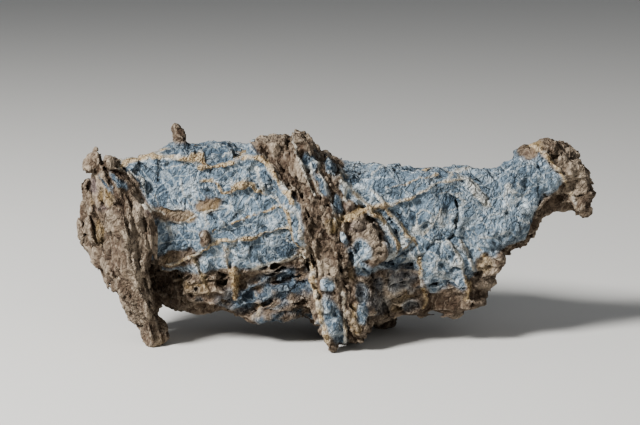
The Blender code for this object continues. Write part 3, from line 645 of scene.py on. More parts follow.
# Blue limestone etched by sand into shallow bowls with thin pale crests between, and wrinkled all over. Each
# row is a size, its depth and how far it is drawn out.
face = {
    "bowls": [(9.0, 1.2, 1.4), (4.6, 0.7, 1.4)],
    "planes": [(12.0, 1.3, 1.5), (6.0, 1.0, 1.3)],  # faces that it breaks along
    "pits": [(4.6, 0.6, 1.6), (2.6, 0.3, 1.4)],
    "chips": [(3.4, 0.5, 1.5), (1.9, 0.2, 1.4)],
    "wrinkles": (3.8, 0.6, 1.8),
    "lean": [  # the way all these are drawn out, from each x on
        (-200, (0.30, 0, -0.95)), (-19, (0.62, 0, -0.78)), (40, (0.45, 0, -0.89)), (75, (0.10, 0, -1.0)),
    ],
    "hatch": (0.79, 0.0, 0.61),  # fine parallel lines across the end of the wing
    "veinlets": [  # thin pale lines: the way they run, how far apart, and how far drawn out
        ((0.35, 0, -0.94), 11, 3.5), ((0.8, 0, -0.6), 14, 3), ((0.75, 0, 0.66), 13, 3), ((1, 0, 0.15), 15, 3),
    ],
    "veinletHeight": 0.6,
}

band = {
    "run": (0.36, 0.0, -0.93),  # the way its strands run
    "bowls": [(3.2, 1.1, 3.2)],
    "facets": [(6.4, 2.6, 2.2), (3.2, 1.8, 2.6)],
    "chips": [(2.0, 1.0, 2.6)],
}

crust = {
    "bedding": (1.0, 0.0, 0.35),  # the way its beds run
    "bowls": [(6.4, 2.6, 1.25), (3.2, 1.1, 1.2)],
    "facets": [(5.0, 1.3, 1.0)],
    "scales": [(7.5, 3.2, 1.9), (3.8, 1.7, 1.5)],  # the scalloped layers under the lip
    "chips": [(1.8, 0.5, 1.2), (1.1, 0.3, 1.0)],
    "calm": (47, 19, 15, 8, 0.2),  # the place of a smooth stretch under the wing; a row of the tones paints it darker as painted shade
}

# Open cracks: the line in (x, z), depth, half width.
cracks = [
    ([(53, 66.5), (54.5, 61), (53, 55.5), (53, 50.5), (50, 48.5), (45, 48.5), (42, 46), (40, 43),
     (37.5, 41.5)], 2, 0.55), ([(-42, 49.5), (-43.5, 45.5)], 1.6, 0.6), ([(-4.5, 84), (-3.5, 79)], 1.4, 0.5),
    ([(-22, 80), (-19.5, 75), (-17.5, 71)], 1.2, 0.5), ([(-17, 78), (-14, 72)], 1.2, 0.5),
    ([(-100, 80), (-97.5, 75.5), (-94, 69.5), (-91.5, 65), (-89.5, 60), (-88.5, 54)], 2, 0.7),
    ([(-94, 82), (-90, 77), (-86.5, 72.5), (-83, 64), (-81.5, 54), (-79.5, 42), (-79, 32)], 2, 0.7),
    ([(-88, 66), (-86.5, 58), (-85, 48), (-84.5, 38)], 1.8, 0.6),
    ([(-83, 33), (-82, 24), (-79, 14)], 2.4, 0.8), ([(2, 50), (3, 43), (3.5, 36)], 2, 0.7),
    ([(22.5, 61.2), (26, 56), (28.6, 50.5), (29.6, 45.6)], 1.5, 0.45),
    ([(27.5, 61), (32, 55.6), (35.6, 51.4)], 1.2, 0.4),
    ([(36.4, 47.5), (33, 44.4), (28.6, 41.2), (24, 38.6)], 1.8, 0.5),
    ([(4.6, 62), (1.2, 56), (0.8, 49)], 1.8, 0.6),
]


def wrinkles(p, row, direction, seed):
    # Thin wrinkles that branch and meet: ridged noise drawn out along the direction, its height and its
    # crests.
    size, height, drawn = row
    fold = ridges(stretched(warped(p, 4.5, 0.8, seed), direction, drawn), size, seed + 3)
    return height * (fold - 0.6), smooth(0.62, 0.88, fold)


def leaning(p, make, rows, seed):
    # Makes bowls, facets or wrinkles along each lean of the face on its own stretch of x, and blends the
    # results.
    shift = p[:, 0] + 6 * noise(p, 16, 81)
    height, crest = np.zeros((2, len(p)), np.float32)
    ends = [start for start, direction in face["lean"][1:]] + [999]
    for (start, direction), end in zip(face["lean"], ends):
        weight = smooth(start - 3, start + 3, shift) * smooth(end + 3, end - 3, shift)
        near = np.flatnonzero(weight > 0)
        high, mark = make(p[near], rows, direction, seed)
        height[near] += weight[near] * high
        crest[near] += weight[near] * mark
    return height, crest


def brownRelief(p, normal, share):
    # Relief and crests of the brown rock: first the loose crust, then the band's strands and flakes.
    x, y, z = p.T
    bedding = crust["bedding"]
    loose, crest = bowls(p, crust["bowls"], bedding, 120)
    loose = loose + facets(p, crust["facets"], bedding, 150)[0]
    scales, rims = bowls(p, crust["scales"], bedding, 130, 1.5)
    calm = 1 - 0.85 * smooth(0, 0.4, spot(x, z, crust["calm"])) * share["front"]
    calm = calm * (1 - 0.5 * share["inside"]) * (1 - 0.9 * share["flat"])
    calm = calm * (1 - share["band"]) * (1 - share["plate"])
    relief = calm * (loose + share["niche"] * (scales - loose))
    crest = calm * (crest + share["niche"] * (rims - crest))

    near = np.flatnonzero(share["band"] > 0.02)
    fibres = warped(p[near], 10, 1.2, 41)
    high, mark = bowls(fibres, band["bowls"], band["run"], 140)
    flakes = facets(fibres, band["facets"], band["run"], 145)[0]
    relief[near] += share["band"][near] * (high + flakes)
    crest[near] += share["band"][near] * np.maximum(mark, smooth(0.4, 1.4, flakes))

    # The plate: tilted faces on its broad side, narrow ones and a few open layers on its edge.
    near = np.flatnonzero(share["plate"] > 0.02)
    q = p[near]
    edge = smooth(0.92, 0.6, np.abs(normal[near] @ unit(plate["outward"])))
    edge = np.maximum(edge, smooth(-1, 1.5, q[:, 0] - along(plate["ridge"], q[:, 2])) * share["front"][near])
    phase = (share["fromMiddle"][near] + 1.8 * noise(q, 13, 51) + 0.8 * noise(q, 5, 52)) / plate["layer"]
    groove = smooth(0.6, 1.0, np.abs(phase - np.floor(phase) - 0.5) * 2)
    cut = plate["groove"] * groove * smooth(-0.3, 0.3, noise(q, 11, 53))
    broad, gaps = facets(q, plate["facets"], plate["grain"], 160)
    narrow = facets(q, plate["edgeFacets"], plate["grain"], 165)[0]
    relief[near] += share["plate"][near] * (edge * (0.4 + narrow - cut) + (1 - edge) * (broad - 0.6 * gaps))
    crest[near] += share["plate"][near] * smooth(0.3, 0.9, np.where(edge > 0.5, narrow, broad))
    return relief, crest


def coarseRelief(p, normal):
    # The larger relief, from beds and broken faces down to veins and cracks.
    share = regionShares(p, normal)
    x, y, z = p.T
    relief = 0.9 * noise(p, 19, 31) + 0.45 * noise(p, 8.5, 32)
    relief *= 1 - 0.4 * share["front"] * (1 - share["crust"])
    near = np.flatnonzero(share["crust"] > 0.02)
    part = {key: values[near] for key, values in share.items()}
    relief[near] += part["crust"] * brownRelief(p[near], normal[near], part)[0]
    near = np.flatnonzero(share["crust"] < 0.98)
    worn = leaning(p[near], bowls, face["bowls"], 180)[0] + leaning(p[near], facets, face["planes"], 185)[0]
    relief[near] += (1 - share["crust"][near]) * worn
    height, raised, ochre, white = veinMarks(p, share["front"])
    relief += 0.7 * share["rim"] + height + raised
    for line, deep, halfWidth in cracks:
        near = nearLine(x, z, share["front"], line, 3)
        q = p[near]
        away = lineFrame(x[near] + 0.5 * noise(q, 3.2, 61), z[near] + 0.5 * noise(q, 3.2, 62), line)[0]
        relief[near] -= deep * smooth(halfWidth * 1.5, halfWidth * 0.3, away) * share["front"][near]
    return (relief,)


def carve(field):
    # Works the relief into every grid point near the surface: the distance there grows where rock is lost.
    # Thin parts, such as the peg and the knobs, keep more of theirs.
    index = np.nonzero(np.abs(field) < block["reach"] - 0.05)
    p = (np.stack(index, 1) * step + lowCorner).astype(np.float32)
    relief = inParts(coarseRelief, p, slopeAt(field, index))[0]
    relief *= 0.3 + 0.7 * smooth(0.1, 0.3, crowding(pooled((field < 0).astype(np.float32), 2), p, 3.5, 2))
    field[index] -= np.clip(relief, -block["reach"], block["reach"] - 0.3)


def skinOf(field):
    # Surface nets. Each cube of eight grid points that the surface passes through gets one corner, at the
    # mean of the points where the distance passes zero along its edges. Each grid edge that the surface
    # crosses gets one face, between the four cubes round it, turned to face out of the rock.
    inside = field < 0
    corners = np.array(list(itertools.product((0, 1), repeat=3)))
    size = np.array(field.shape) - 1
    total = sum(inside[i:size[0] + i, j:size[1] + j, k:size[2] + k].astype(np.int8) for i, j, k in corners)
    cube = np.argwhere((total > 0) & (total < 8))
    number = np.full(size, -1, np.int32)
    number[tuple(cube.T)] = np.arange(len(cube))
    values = np.stack([field[tuple((cube + corner).T)] for corner in corners])[:, :, None]
    where, count = np.zeros((len(cube), 3), np.float32), np.zeros((len(cube), 1), np.float32)
    for a, b in itertools.combinations(range(8), 2):
        way = corners[b] - corners[a]
        if np.abs(way).sum() == 1:
            crossed = (values[a] < 0) != (values[b] < 0)
            where += crossed * (corners[a] + way * values[a] / np.where(crossed, values[a] - values[b], 1))
            count += crossed
    faces = []
    for axis in range(3):
        one, two = np.roll(np.eye(3, dtype=int), 2 - axis, axis=0)[:2]
        at = np.argwhere(np.diff(inside, axis=axis))
        at = at[(at @ one > 0) & (at @ two > 0)]
        ring = [at - du * one - dv * two for du, dv in ((1, 1), (0, 1), (0, 0), (1, 0))]
        quad = np.stack([number[tuple(place.T)] for place in ring], 1)
        faces.append(np.where(inside[tuple(at.T)][:, None], quad, quad[:, ::-1]))
    return ((cube + where / count) * step + lowCorner).astype(np.float32), np.concatenate(faces)


def largestPiece(points, faces):
    # Keeps the largest connected piece. Each corner takes the lowest number among its neighbours until none
    # changes.
    label = np.arange(len(points))
    a = faces.ravel()
    b = np.roll(faces, 1, axis=1).ravel()
    while True:
        lowest = label.copy()
        np.minimum.at(lowest, a, label[b])
        np.minimum.at(lowest, b, label[a])
        lowest = lowest[lowest]
        if (lowest == label).all():
            break
        label = lowest
    keep = label == np.bincount(label).argmax()
    number = np.cumsum(keep) - 1
    return points[keep], number[faces[keep[faces[:, 0]]]]


def edgesOf(faces):
    a = np.minimum(faces, np.roll(faces, -1, axis=1)).ravel().astype(np.int64)
    b = np.maximum(faces, np.roll(faces, -1, axis=1)).ravel()
    pair = np.unique(a * (faces.max() + 1) + b)
    return pair // (faces.max() + 1), pair % (faces.max() + 1)


def neighbourMean(values, edges):
    # Mean of each corner's neighbours along the edges.
    a, b = edges
    size = len(values)
    count = np.bincount(a, minlength=size) + np.bincount(b, minlength=size)
    columns = values if values.ndim > 1 else values[:, None]
    out = np.stack([np.bincount(a, columns[b, n], size) + np.bincount(b, columns[a, n], size)
                    for n in range(columns.shape[1])], 1) / np.maximum(count, 1)[:, None]
    return (out if values.ndim > 1 else out[:, 0]).astype(np.float32)


def normalsOf(points, faces):
    # Each corner's normal is the sum of those of the faces round it, larger faces counting for more.
    diagonal = np.cross(points[faces[:, 2]] - points[faces[:, 0]], points[faces[:, 3]] - points[faces[:, 1]])
    normal = np.zeros_like(points)
    for n in range(3):
        normal[:, n] = sum(np.bincount(faces[:, k], diagonal[:, n], len(points)) for k in range(4))
    return normal / np.maximum(np.linalg.norm(normal, axis=1, keepdims=True), 1e-6)


# Stains: the place, and from -1, mauve, to 1, yellow.
stains = [
    (-99.8, 68, 6, 6, 0, 1), (-107, 63.5, 3, 5, 0, 0.6), (-106.5, 71, 4, 5, 0, -0.9),
    (-103.5, 61.5, 6, 3, 0.3, -0.9), (-98, 15, 6, 6, 0, -1), (-94.5, 10, 6, 5, 0, -0.9),
    (-104, 50, 4, 8, 0, 0.5), (-78, 2, 4, 5, 0, 0.5), (-63, 27, 12, 5, 0, 0.5), (12, 63.3, 8, 3, 0.3, 1),
    (-0.9, 57.5, 5, 5, 0, 0.9), (9.7, 16, 5, 12, 0, 0.8), (-43.4, 28.7, 2.4, 7, 0, 1),
    (66.5, 36.7, 5, 5, 0, 0.8), (92, 88, 8, 5, -0.3, 0.4), (-6.5, 24, 3, 9, -0.3, 0.8),
    (10, 56.5, 6, 4, 0, -1), (6.5, 65, 4, 3, 0, -0.9), (18, 47, 3, 8, -0.2, 0.1), (7, 35, 6, 6, 0, 0.5),
    (-82, 66, 5, 14, 0, -0.5), (28, 22, 13, 9, 0, 0.6), (-26, 81, 5, 9, -0.4, -0.2),
    (-57.5, 34, 2, 7, -0.3, 0.7),
]

# Paler and darker stretches: the place, and how much paler.
tones = [
    (-72, 74, 11, 9, 0, -0.5), (-12, 47, 5, 6, 0, 1), (-22, 46, 6, 7, 0, -1), (-50, 56, 16, 5, 0.1, 0.5),
    (-66, 47, 7, 4, 0.1, -0.3), (-47, 42, 8, 4, 0, 0.8), (-30, 78, 5, 5, -0.6, -0.4),
    (6, 78, 8, 5, -0.3, -0.8), (50, 68, 9, 7, 0, -0.5), (60, 55, 7, 6, 0, -0.2), (74, 60, 9, 8, 0.3, 0.9),
    (66, 44, 9, 6, 0.5, 1), (35, 57, 6, 6, 0, -0.5), (30, 43, 7, 5, 0, -0.1), (48, 57, 5, 4, 0, 0.8),
    (80, 79, 8, 4, 0.2, -0.5), (92, 78, 8, 8, 0, -0.1), (-30, 66, 6, 5, 0, -0.2), (46, 42, 6, 5, 0, 0.1),
    (-86, 76, 4, 5, -0.8, -0.4), (-58, 87.5, 26, 6, 0, -1.3), (-67, 92, 4, 8, 0, -1.5),
    # The first row here, at x 47, z 18, is painted shade on the slab under the wing.
    (47, 18, 15, 8, 0.2, -1), (104, 76, 13, 16, 0, 1.1), (-2, 36, 9, 11, -0.3, 1.4), (67, 33, 8, 12, 0, 1.6),
    (12, 54, 9, 12, -0.3, 0.5), (-86, 50, 6, 28, 0, 1.6), (-88, 12, 9, 12, 0, 0.7), (-99, 80, 11, 9, 0, -1.3),
    (15, 51, 8, 13, -0.3, 1.7), (-103, 55, 9, 26, 0.1, 0.3), (25, 24, 11, 11, 0, 0.8),
    (-5, 55, 8, 13, -0.3, 0.6), (-21, 80, 9, 8, -0.4, -0.5), (-68, 60, 8, 3, 0, 0.7),
    (-67.5, 41, 9, 3.6, 0, 0.5), (-76, 22, 8, 12, 0, -0.8), (8, 12, 8, 12, -0.3, 0.5),
]


def fineRelief(p, normal):
    # The finer relief of the skin, and what the colours go by: how brown, ochre and white the rock is, its
    # crests, its tone and its warmth.
    share = regionShares(p, normal)
    x, y, z = p.T
    ochre, white = veinMarks(p, share["front"])[2:]
    relief, crest = np.zeros((2, len(p)), np.float32)

    # Blue face: wrinkles and small pits, and where its crests are.
    near = np.flatnonzero(share["crust"] < 0.98)
    part = 1 - share["crust"][near]
    q = p[near]
    fold, foldCrest = leaning(q, wrinkles, face["wrinkles"], 220)
    pits, pitCrest = leaning(q, bowls, face["pits"], 240)
    wideCrest = leaning(q, bowls, face["bowls"], 180)[1]
    chips = leaning(q, facets, face["chips"], 245)[0]
    lines = clefts(stretched(warped(q, 9, 1.0, 101), face["hatch"], 7), 2.6, 104, 3)
    lines *= smooth(66, 76, q[:, 0]) * smooth(104, 98, q[:, 0])
    relief[near] = part * ((fold + pits + chips) * (0.75 + 0.6 * noise(q, 13, 82)) + 0.4 * lines)
    mark = np.maximum.reduce([0.85 * foldCrest, 0.5 * pitCrest, wideCrest, 0.8 * lines])
    crest[near] = part * np.clip(mark, 0, 1)

    # Thin pale lines that run across the face.
    veinlet = np.zeros(len(q), np.float32)
    for n, (direction, gap, drawn) in enumerate(face["veinlets"]):
        line = clefts(stretched(warped(q, 16, 2.0, 110 + 10 * n), direction, drawn), gap, 114 + 10 * n, 15)
        veinlet = np.maximum(veinlet, line * smooth(-0.15, 0.2, noise(q, 17, 115 + 10 * n)))
    relief[near] += part * face["veinletHeight"] * veinlet
    crest[near] = np.maximum(crest[near], part * veinlet)
    white[near] = np.maximum(white[near], 0.8 * part * smooth(0.3, 0.9, veinlet))

    # Brown rock: crumbs and pits on the loose crust, chips everywhere.
    near = np.flatnonzero(share["crust"] > 0.02)
    part = {key: values[near] for key, values in share.items()}
    q = warped(p[near], 4, 0.7, 86)
    crumbs = ridges(q, 2.6, 84) - 0.6
    holes = smooth(0.1, 0.5, noise(q, 2.6, 85)) * smooth(-0.2, 0.4, noise(p[near], 9, 90))
    calm = (1 - 0.4 * part["inside"]) * (1 - 0.6 * part["flat"]) * (1 - 0.8 * part["niche"])
    loose = (1 - np.maximum(part["band"], part["plate"])) * calm
    worked = loose * (0.5 * crumbs - 0.5 * holes + facets(q, crust["chips"], crust["bedding"], 250)[0])
    worked += part["band"] * (0.2 * crumbs - 0.3 * holes + facets(q, band["chips"], band["run"], 255)[0])
    worked += part["plate"] * facets(q, plate["chips"], plate["grain"], 260)[0]
    relief[near] += part["crust"] * worked
    mark = brownRelief(p[near], normal[near], part)[1]
    crest[near] += part["crust"] * np.clip(0.8 * mark + 0.7 * crumbs * (1 - 0.6 * part["niche"]), 0, 1)
    # Rims and the lip's edge count as crests too. The crests are painted pale later: partly the rock's own
    # paler crests, partly painted highlight.
    edge = np.maximum(share["rim"], share["lipEdge"] * (1 - share["plate"]) * (1 - share["band"]))
    crest = np.clip(np.maximum(crest, 0.9 * edge * (0.7 + 0.5 * noise(p, 3, 98))), 0, 1)
    # Painted shade: the crests under the lip are made less pale.
    crest *= 1 - 0.5 * share["washAndShade"]

    # Painted shade: the tone is lowered under the lip by the wash.
    tone = 0.35 * noise(p, 9, 87) + 0.25 * noise(p, 4, 88) - 1.4 * share["washAndShade"] - 0.5 * share["band"]
    for *ellipse, paler in tones:
        tone += paler * share["front"] * smooth(0, 0.6, spot(x, z, ellipse))
    warm = 0.3 * noise(p, 14, 91) + 0.2 * noise(p, 6, 92) + 0.4 * share["flat"]
    ragged = 0.1 * noise(p, 3, 93)
    for *ellipse, yellower in stains:
        warm += yellower * share["front"] * smooth(0, 0.6, spot(x, z, ellipse) + ragged)
    return (relief * smooth(0.0, 1.5, z), share["crust"] * (1 - share["washAndShade"]), ochre, white, crest,
            np.clip(0.5 + 0.5 * tone, 0, 1), np.clip(0.5 + 0.5 * warm, 0, 1))


def stoneMesh():
    points, triangles = meshArrays(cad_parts["stone"])
    fill = filled(points, triangles)
    field = closedUp(distanceGrid(fill, block["melt"]), distanceGrid(fill, block["silt"]))
    # For each (x, z), the y at which the rock is first met from the front, or 99.
    depth = lowCorner[1] + np.argmax(field < 0, axis=1) * step
    depth = np.where((field < 0).any(axis=1), depth, 99).astype(np.float32)
    print("grid", gridShape, "of the packed solid's", len(triangles), "triangles")
    addLumps(field, depth)
    carve(field)
    print("relief carved")
    carveHollows(field, depth)
    levels = lowCorner[2] + np.arange(gridShape[2]) * step
    field = np.maximum(field, -levels[None, None, :].astype(np.float32))  # worn flat where it stands
    p, faces = largestPiece(*skinOf(field))
    print("skin", len(faces), "faces")

    edges = edgesOf(faces)
    p = p + 0.4 * (neighbourMean(p, edges) - p)
    normal = normalsOf(p, faces)
    relief, *worked = inParts(fineRelief, p, normal)
    marks = dict(zip(("crust", "ochre", "white", "crest", "tone", "warm"), worked))
    p = p + normal * relief[:, None]
    p[:, 2] = np.maximum(p[:, 2], 0)
    normal = normalsOf(p, faces)
    print("skin worked")

    # How far each corner lies below its neighbourhood, and how much rock crowds round it. The colours use
    # these to paint shade into hollows and crowded recesses, and highlight onto bulges.
    wide = p.copy()
    for turn in range(8):
        wide = neighbourMean(wide, edges)
    marks["hollow"] = np.clip(0.5 + np.einsum("ij,ij->i", wide - p, normal), 0, 1)
    # The two crowding marks below serve only to paint shade where much rock crowds round, in hollows and
    # recesses.
    solid = (field < 0).astype(np.float32)
    marks["deep"] = crowding(pooled(solid, 2), p, 2.6, 2)
    marks["shelteredShade"] = crowding(pooled(solid, 4), p, 7.0, 4)
    return p, faces, marks, smooth(-2, 12, p[:, 1]) * smooth(-0.2, 0.3, normal[:, 1])


def plainMesh(name, p, faces, marks):
    # A mesh with a value of each mark at each corner.
    mesh = bpy.data.meshes.new(name)
    mesh.vertices.add(len(p))
    mesh.vertices.foreach_set("co", p.astype(np.float32).ravel())
    mesh.loops.add(faces.size)
    mesh.loops.foreach_set("vertex_index", faces.astype(np.int32).ravel())
    mesh.polygons.add(len(faces))
    mesh.polygons.foreach_set("loop_start", np.arange(len(faces), dtype=np.int32) * faces.shape[1])
    mesh.update(calc_edges=True)
    mesh.validate()
    for key, values in marks.items():
        layer = mesh.attributes.new(key, "FLOAT", "POINT")
        layer.data.foreach_set("value", values.astype(np.float32))
    return mesh


def thinned(obj, share, back):
    # Collapses edges where the surface is flattest, and rather at the back, until the given share of the
    # triangles is left. It works in millimetres, and the mesh is put into metres afterwards.
    favour = obj.vertex_groups.new(name="favour")
    level = np.round(2 + 98 * back).astype(int)
    order = np.argsort(level, kind="stable")
    starts = np.searchsorted(level[order], np.arange(102))
    for value in range(2, 101):
        chosen = order[starts[value]:starts[value + 1]]
        if len(chosen):
            favour.add(chosen.tolist(), value / 100, "REPLACE")
    thin = obj.modifiers.new("thin", "DECIMATE")
    thin.ratio = share
    thin.vertex_group = "favour"
    thin.vertex_group_factor = block["frontFirst"]
    bpy.context.view_layer.update()
    done = bpy.data.meshes.new_from_object(obj.evaluated_get(bpy.context.evaluated_depsgraph_get()))
    obj.modifiers.clear()
    obj.vertex_groups.clear()
    obj.data = done
    points = np.zeros(len(done.vertices) * 3, np.float32)
    done.vertices.foreach_get("co", points)
    done.vertices.foreach_set("co", points * mm)
    done.shade_smooth()
    done.update()


# Limestone, etched by blown sand. The hard rock is blue-grey, dry and dull, its veins of calcite are left
# standing and show as pale and ochre lines, and iron has stained the crumbling crust brown.
look = {
    "deepBlue": "#515f6b", "paleBlue": "#81909c", "crest": "#b9c1c4", "pit": "#2b363f",
    "brown": "#51443a", "tan": "#766859", "mauve": "#665b5a", "yellow": "#867352", "crumbAndHighlight": "#aa9d8c",
    "earthAndShade": "#36281d", "calcite": "#c8c5ba", "ochre": "#b3a080", "rust": "#7a5f3f", "paintedShade": "#15110d",
}

# Patterns finer than the mesh. Speckles are a size in millimetres and how much finer noise is in them.
# Threads are thin lines where drawn-out noise passes its middle: their size, the lean from upright in
# degrees, and how far drawn out.
speckles = {"fine": (0.45, 3), "grit": (1.1, 3), "dust": (0.6, 4), "patches": (7.0, 1)}
threads = {"fibres": (2.4, 20, 3), "slants": (4, -38, 4), "levels": (5, 70, 3.5), "strands": (3.4, 24, 3.5)}

# Each coat starts with its ground colour. Each row after it lays a colour over that, as much as its rules
# multiply to. A rule is a mark or a pattern, from where to where of it, and how much that gives at the two
# ends.
coats = {
    "blueRock": ["deepBlue",
        ("paleBlue", ("tone", 0.1, 0.9, 0, 1)),
        # Painted shade: dark blue laid into the hollows of the skin.
        ("pit", ("hollow", 0.52, 0.9, 0, 0.6)),
        # Pale on crests: partly the rock's own paler crests, partly painted highlight.
        ("crest", ("crest", 0.6, 1, 0, 1), ("tone", 0, 0.8, 0.1, 0.4)),
        # Painted highlight: pale laid onto the bulges of the skin.
        ("crest", ("hollow", 0.35, 0, 0, 0.3)),
        ("crest", ("fibres", 0, 1, 0, 1), ("tone", 0, 0.8, 0.3, 0.7)),
        ("crest", ("slants", 0, 1, 0, 1), ("tone", 0, 0.8, 0.3, 0.7)),
        ("crest", ("levels", 0, 1, 0, 1), ("tone", 0, 0.8, 0.3, 0.7)),
        ("pit", ("fine", 0.45, 0.3, 0, 0.3)),
    ],
    "brownRock": ["brown",
        ("tan", ("grit", 0.3, 0.7, 0, 1)),
        ("mauve", ("warm", 0.45, 0.05, 0, 0.8)), ("yellow", ("warm", 0.6, 0.95, 0, 0.8)),
        ("crumbAndHighlight", ("tone", 0.6, 1, 0, 0.4)), ("earthAndShade", ("tone", 0.35, 0, 0, 0.6)),
        # Painted shade: dark brown laid into the hollows of the skin.
        ("earthAndShade", ("hollow", 0.55, 0.95, 0, 0.6)),
        # Pale on crests is partly the crust's paler crests and partly painted highlight; pale on the bulges of
        # the skin is painted highlight.
        ("crumbAndHighlight", ("crest", 0.3, 0.95, 0, 0.45)), ("crumbAndHighlight", ("hollow", 0.45, 0.1, 0, 0.3)),
        ("crumbAndHighlight", ("fibres", 0, 1, 0, 0.3)), ("earthAndShade", ("strands", 0, 1, 0, 0.6)),
        ("earthAndShade", ("fine", 0.45, 0.3, 0, 0.3)),
    ],
    "stain": ["rust", ("ochre", ("fine", 0.38, 0.52, 0, 1))],
    "stone": ["blueRock",
        ("brownRock", ("crust", 0, 1, 0, 1)),
        ("calcite", ("white", 0.3, 1, 0, 1), ("grit", 0.3, 0.6, 0.35, 0.8)),
        ("stain", ("ochre", 0.05, 0.6, 0, 0.9)),
        # Painted shade: the colour is darkened where much rock crowds round, in hollows and recesses.
        ("paintedShade", ("deep", 0.6, 0.85, 0, 0.4)), ("paintedShade", ("shelteredShade", 0.62, 0.9, 0, 0.4)),
    ],
}
creased = [("creases", 0, 1, 0, 1), ("patches", 0.35, 0.65, 0.4, 1), ("crust", 0, 1, 0.8, 0.5)]


def linear(hexColour):
    # sRGB hex to linear light.
    channels = [int(hexColour[i:i + 2], 16) / 255 for i in (1, 3, 5)]
    return tuple(c / 12.92 if c <= 0.04045 else ((c + 0.055) / 1.055) ** 2.4 for c in channels) + (1.0,)


def addNode(tree, kind, inputs, settings=None, output=0):
    # Adds a node, sets its properties, and sets its sockets or links other nodes' outputs into them.
    made = tree.nodes.new(kind)
    for key, value in (settings or {}).items():
        setattr(made, key, value)
    for key, value in inputs.items():
        if isinstance(value, bpy.types.NodeSocket):
            tree.links.new(value, made.inputs[key])
        else:
            made.inputs[key].default_value = value
    return made.outputs[output]


def limestone():
    material = bpy.data.materials.new("sandblasted_limestone")
    material.use_nodes = True
    tree = material.node_tree
    shader = tree.nodes["Principled BSDF"]
    place = addNode(tree, "ShaderNodeTexCoord", {}, None, "Object")
    evenly, smoothly = {"clamp": False}, {"interpolation_type": "SMOOTHSTEP"}
    seen = {}
    for name in ("crust", "ochre", "white", "crest", "tone", "warm", "hollow", "deep", "shelteredShade"):
        seen[name] = addNode(tree, "ShaderNodeAttribute", {}, {"attribute_name": name}, "Fac")
    for name, (size, detail) in speckles.items():
        scaled = {"Vector": place, "Scale": 1 / (size * 2 * mm), "Detail": detail}
        seen[name] = addNode(tree, "ShaderNodeTexNoise", scaled)
    for name, (size, lean, drawn) in [*threads.items(), ("creases", (2.2, 20, 1.4))]:
        turn = {"Vector": place, "Rotation": (0, math.radians(lean), 0), "Scale": (1, 1, drawn)}
        turned = addNode(tree, "ShaderNodeMapping", turn, {"vector_type": "TEXTURE"})
        if name == "creases":
            folds = {"Vector": turned, "Scale": 1 / (size * mm), "Detail": 3, "Roughness": 0.65, "Offset": 0.9,
                     "Gain": 2, "Distortion": 0.4}
            seen[name] = addNode(tree, "ShaderNodeTexNoise", folds,
                                 {"noise_type": "RIDGED_MULTIFRACTAL", "normalize": True})
            continue
        soft = {"Vector": turned, "Scale": 1 / (size * 2 * mm), "Detail": 2}
        cloud = addNode(tree, "ShaderNodeTexNoise", soft)
        rise, fall = (addNode(tree, "ShaderNodeMapRange", {0: cloud, 1: low, 2: 0.5}, smoothly)
                      for low in (0.475, 0.525))
        seen[name] = addNode(tree, "ShaderNodeMath", {0: rise, 1: fall}, {"operation": "MULTIPLY"})

    def amount(rules):
        # What the rules multiply to. One that goes from 0 to 1 is even, and the others ease in and out.
        total = None
        for name, low, high, lowAmount, highAmount in rules:
            span = {0: seen[name], 1: low, 2: high, 3: lowAmount, 4: highAmount}
            part = addNode(tree, "ShaderNodeMapRange", span, evenly if (low, high) == (0, 1) else smoothly)
            if total is not None:
                part = addNode(tree, "ShaderNodeMath", {0: total, 1: part}, {"operation": "MULTIPLY"})
            total = part
        return total

    colours = {name: linear(hexColour) for name, hexColour in look.items()}
    for name, (ground, *rows) in coats.items():
        colours[name] = colours[ground]
        for over, *rules in rows:
            coat = {0: amount(rules), 6: colours[name], 7: colours[over]}
            colours[name] = addNode(tree, "ShaderNodeMix", coat, {"data_type": "RGBA"}, 2)
    tree.links.new(colours["stone"], shader.inputs["Base Color"])
    shader.inputs["Roughness"].default_value = 0.9
    shader.inputs["Specular IOR Level"].default_value = 0.2
    grain = addNode(tree, "ShaderNodeBump", {"Distance": 0.5 * mm, "Strength": 1, "Height": seen["dust"]})
    bent = addNode(tree, "ShaderNodeBump",
                   {"Distance": 1.8 * mm, "Strength": 1, "Height": amount(creased), "Normal": grain})
    tree.links.new(bent, shader.inputs["Normal"])
    return material


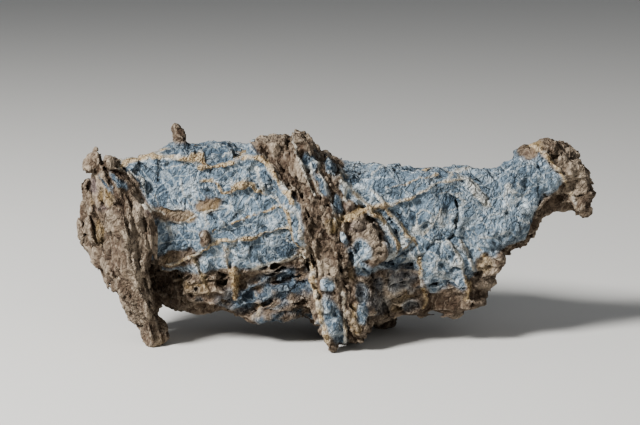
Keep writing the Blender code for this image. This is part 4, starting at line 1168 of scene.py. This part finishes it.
p, faces, marks, back = stoneMesh()
stone = bpy.data.objects.new("weathered_stone", plainMesh("weathered_stone", p, faces, marks))
bpy.context.scene.collection.objects.link(stone)
thinned(stone, min(1.0, block["triangles"] / (len(faces) * 2)), back)
print("stone", len(stone.data.vertices), "corners", len(stone.data.polygons), "faces")
stone.data.materials.append(limestone())
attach(stone, "root")
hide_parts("stone")

floorMaterial = bpy.data.materials.new("matt_floor")
floorMaterial.use_nodes = True
floorShader = floorMaterial.node_tree.nodes["Principled BSDF"]
floorShader.inputs["Base Color"].default_value = linear("#cfcdc8")
floorShader.inputs["Roughness"].default_value = 0.8
floorMesh = bpy.data.meshes.new("floor")
floorMesh.from_pydata([(-4, -2, 0), (4, -2, 0), (4, 6, 0), (-4, 6, 0)], [], [(0, 1, 2, 3)])
floor = bpy.data.objects.new("floor", floorMesh)
floor.data.materials.append(floorMaterial)
bpy.context.scene.collection.objects.link(floor)

world = bpy.data.worlds.new("studio")
bpy.context.scene.world = world
world.use_nodes = True
world.node_tree.nodes["Background"].inputs["Color"].default_value = linear("#e6eaf0")
world.node_tree.nodes["Background"].inputs["Strength"].default_value = 0.25

# Soft boxes: place, size and power of each. The large one stands at the upper left in front.
softBoxes = {"key": ((-1.05, -0.9, 1.05), 0.4, 60.0), "fill": ((0.5, -1.3, 0.6), 1.2, 4.0)}
aim = Vector((-0.0061, -0.0029, 0.0569))
for name, (spotPlace, size, power) in softBoxes.items():
    lamp = bpy.data.lights.new(name, "AREA")
    lamp.shape = "SQUARE"
    lamp.size = size
    lamp.energy = power
    holder = bpy.data.objects.new(name, lamp)
    holder.location = spotPlace
    holder.rotation_euler = (aim - Vector(spotPlace)).to_track_quat("-Z", "Y").to_euler()
    bpy.context.scene.collection.objects.link(holder)

# The camera looks down 10 degrees from 0.8 m away.
bpy.context.scene.view_settings.look = "AgX - Medium High Contrast"
cameraData = bpy.data.cameras.new("camera")
cameraData.lens = 100
cameraData.sensor_width = 36
camera = bpy.data.objects.new("camera", cameraData)
away = Vector((0, -math.cos(math.radians(10)), math.sin(math.radians(10)))) * 0.8
camera.location = aim + away
camera.rotation_euler = (-away).to_track_quat("-Z", "Y").to_euler()
bpy.context.scene.collection.objects.link(camera)
bpy.context.scene.camera = camera
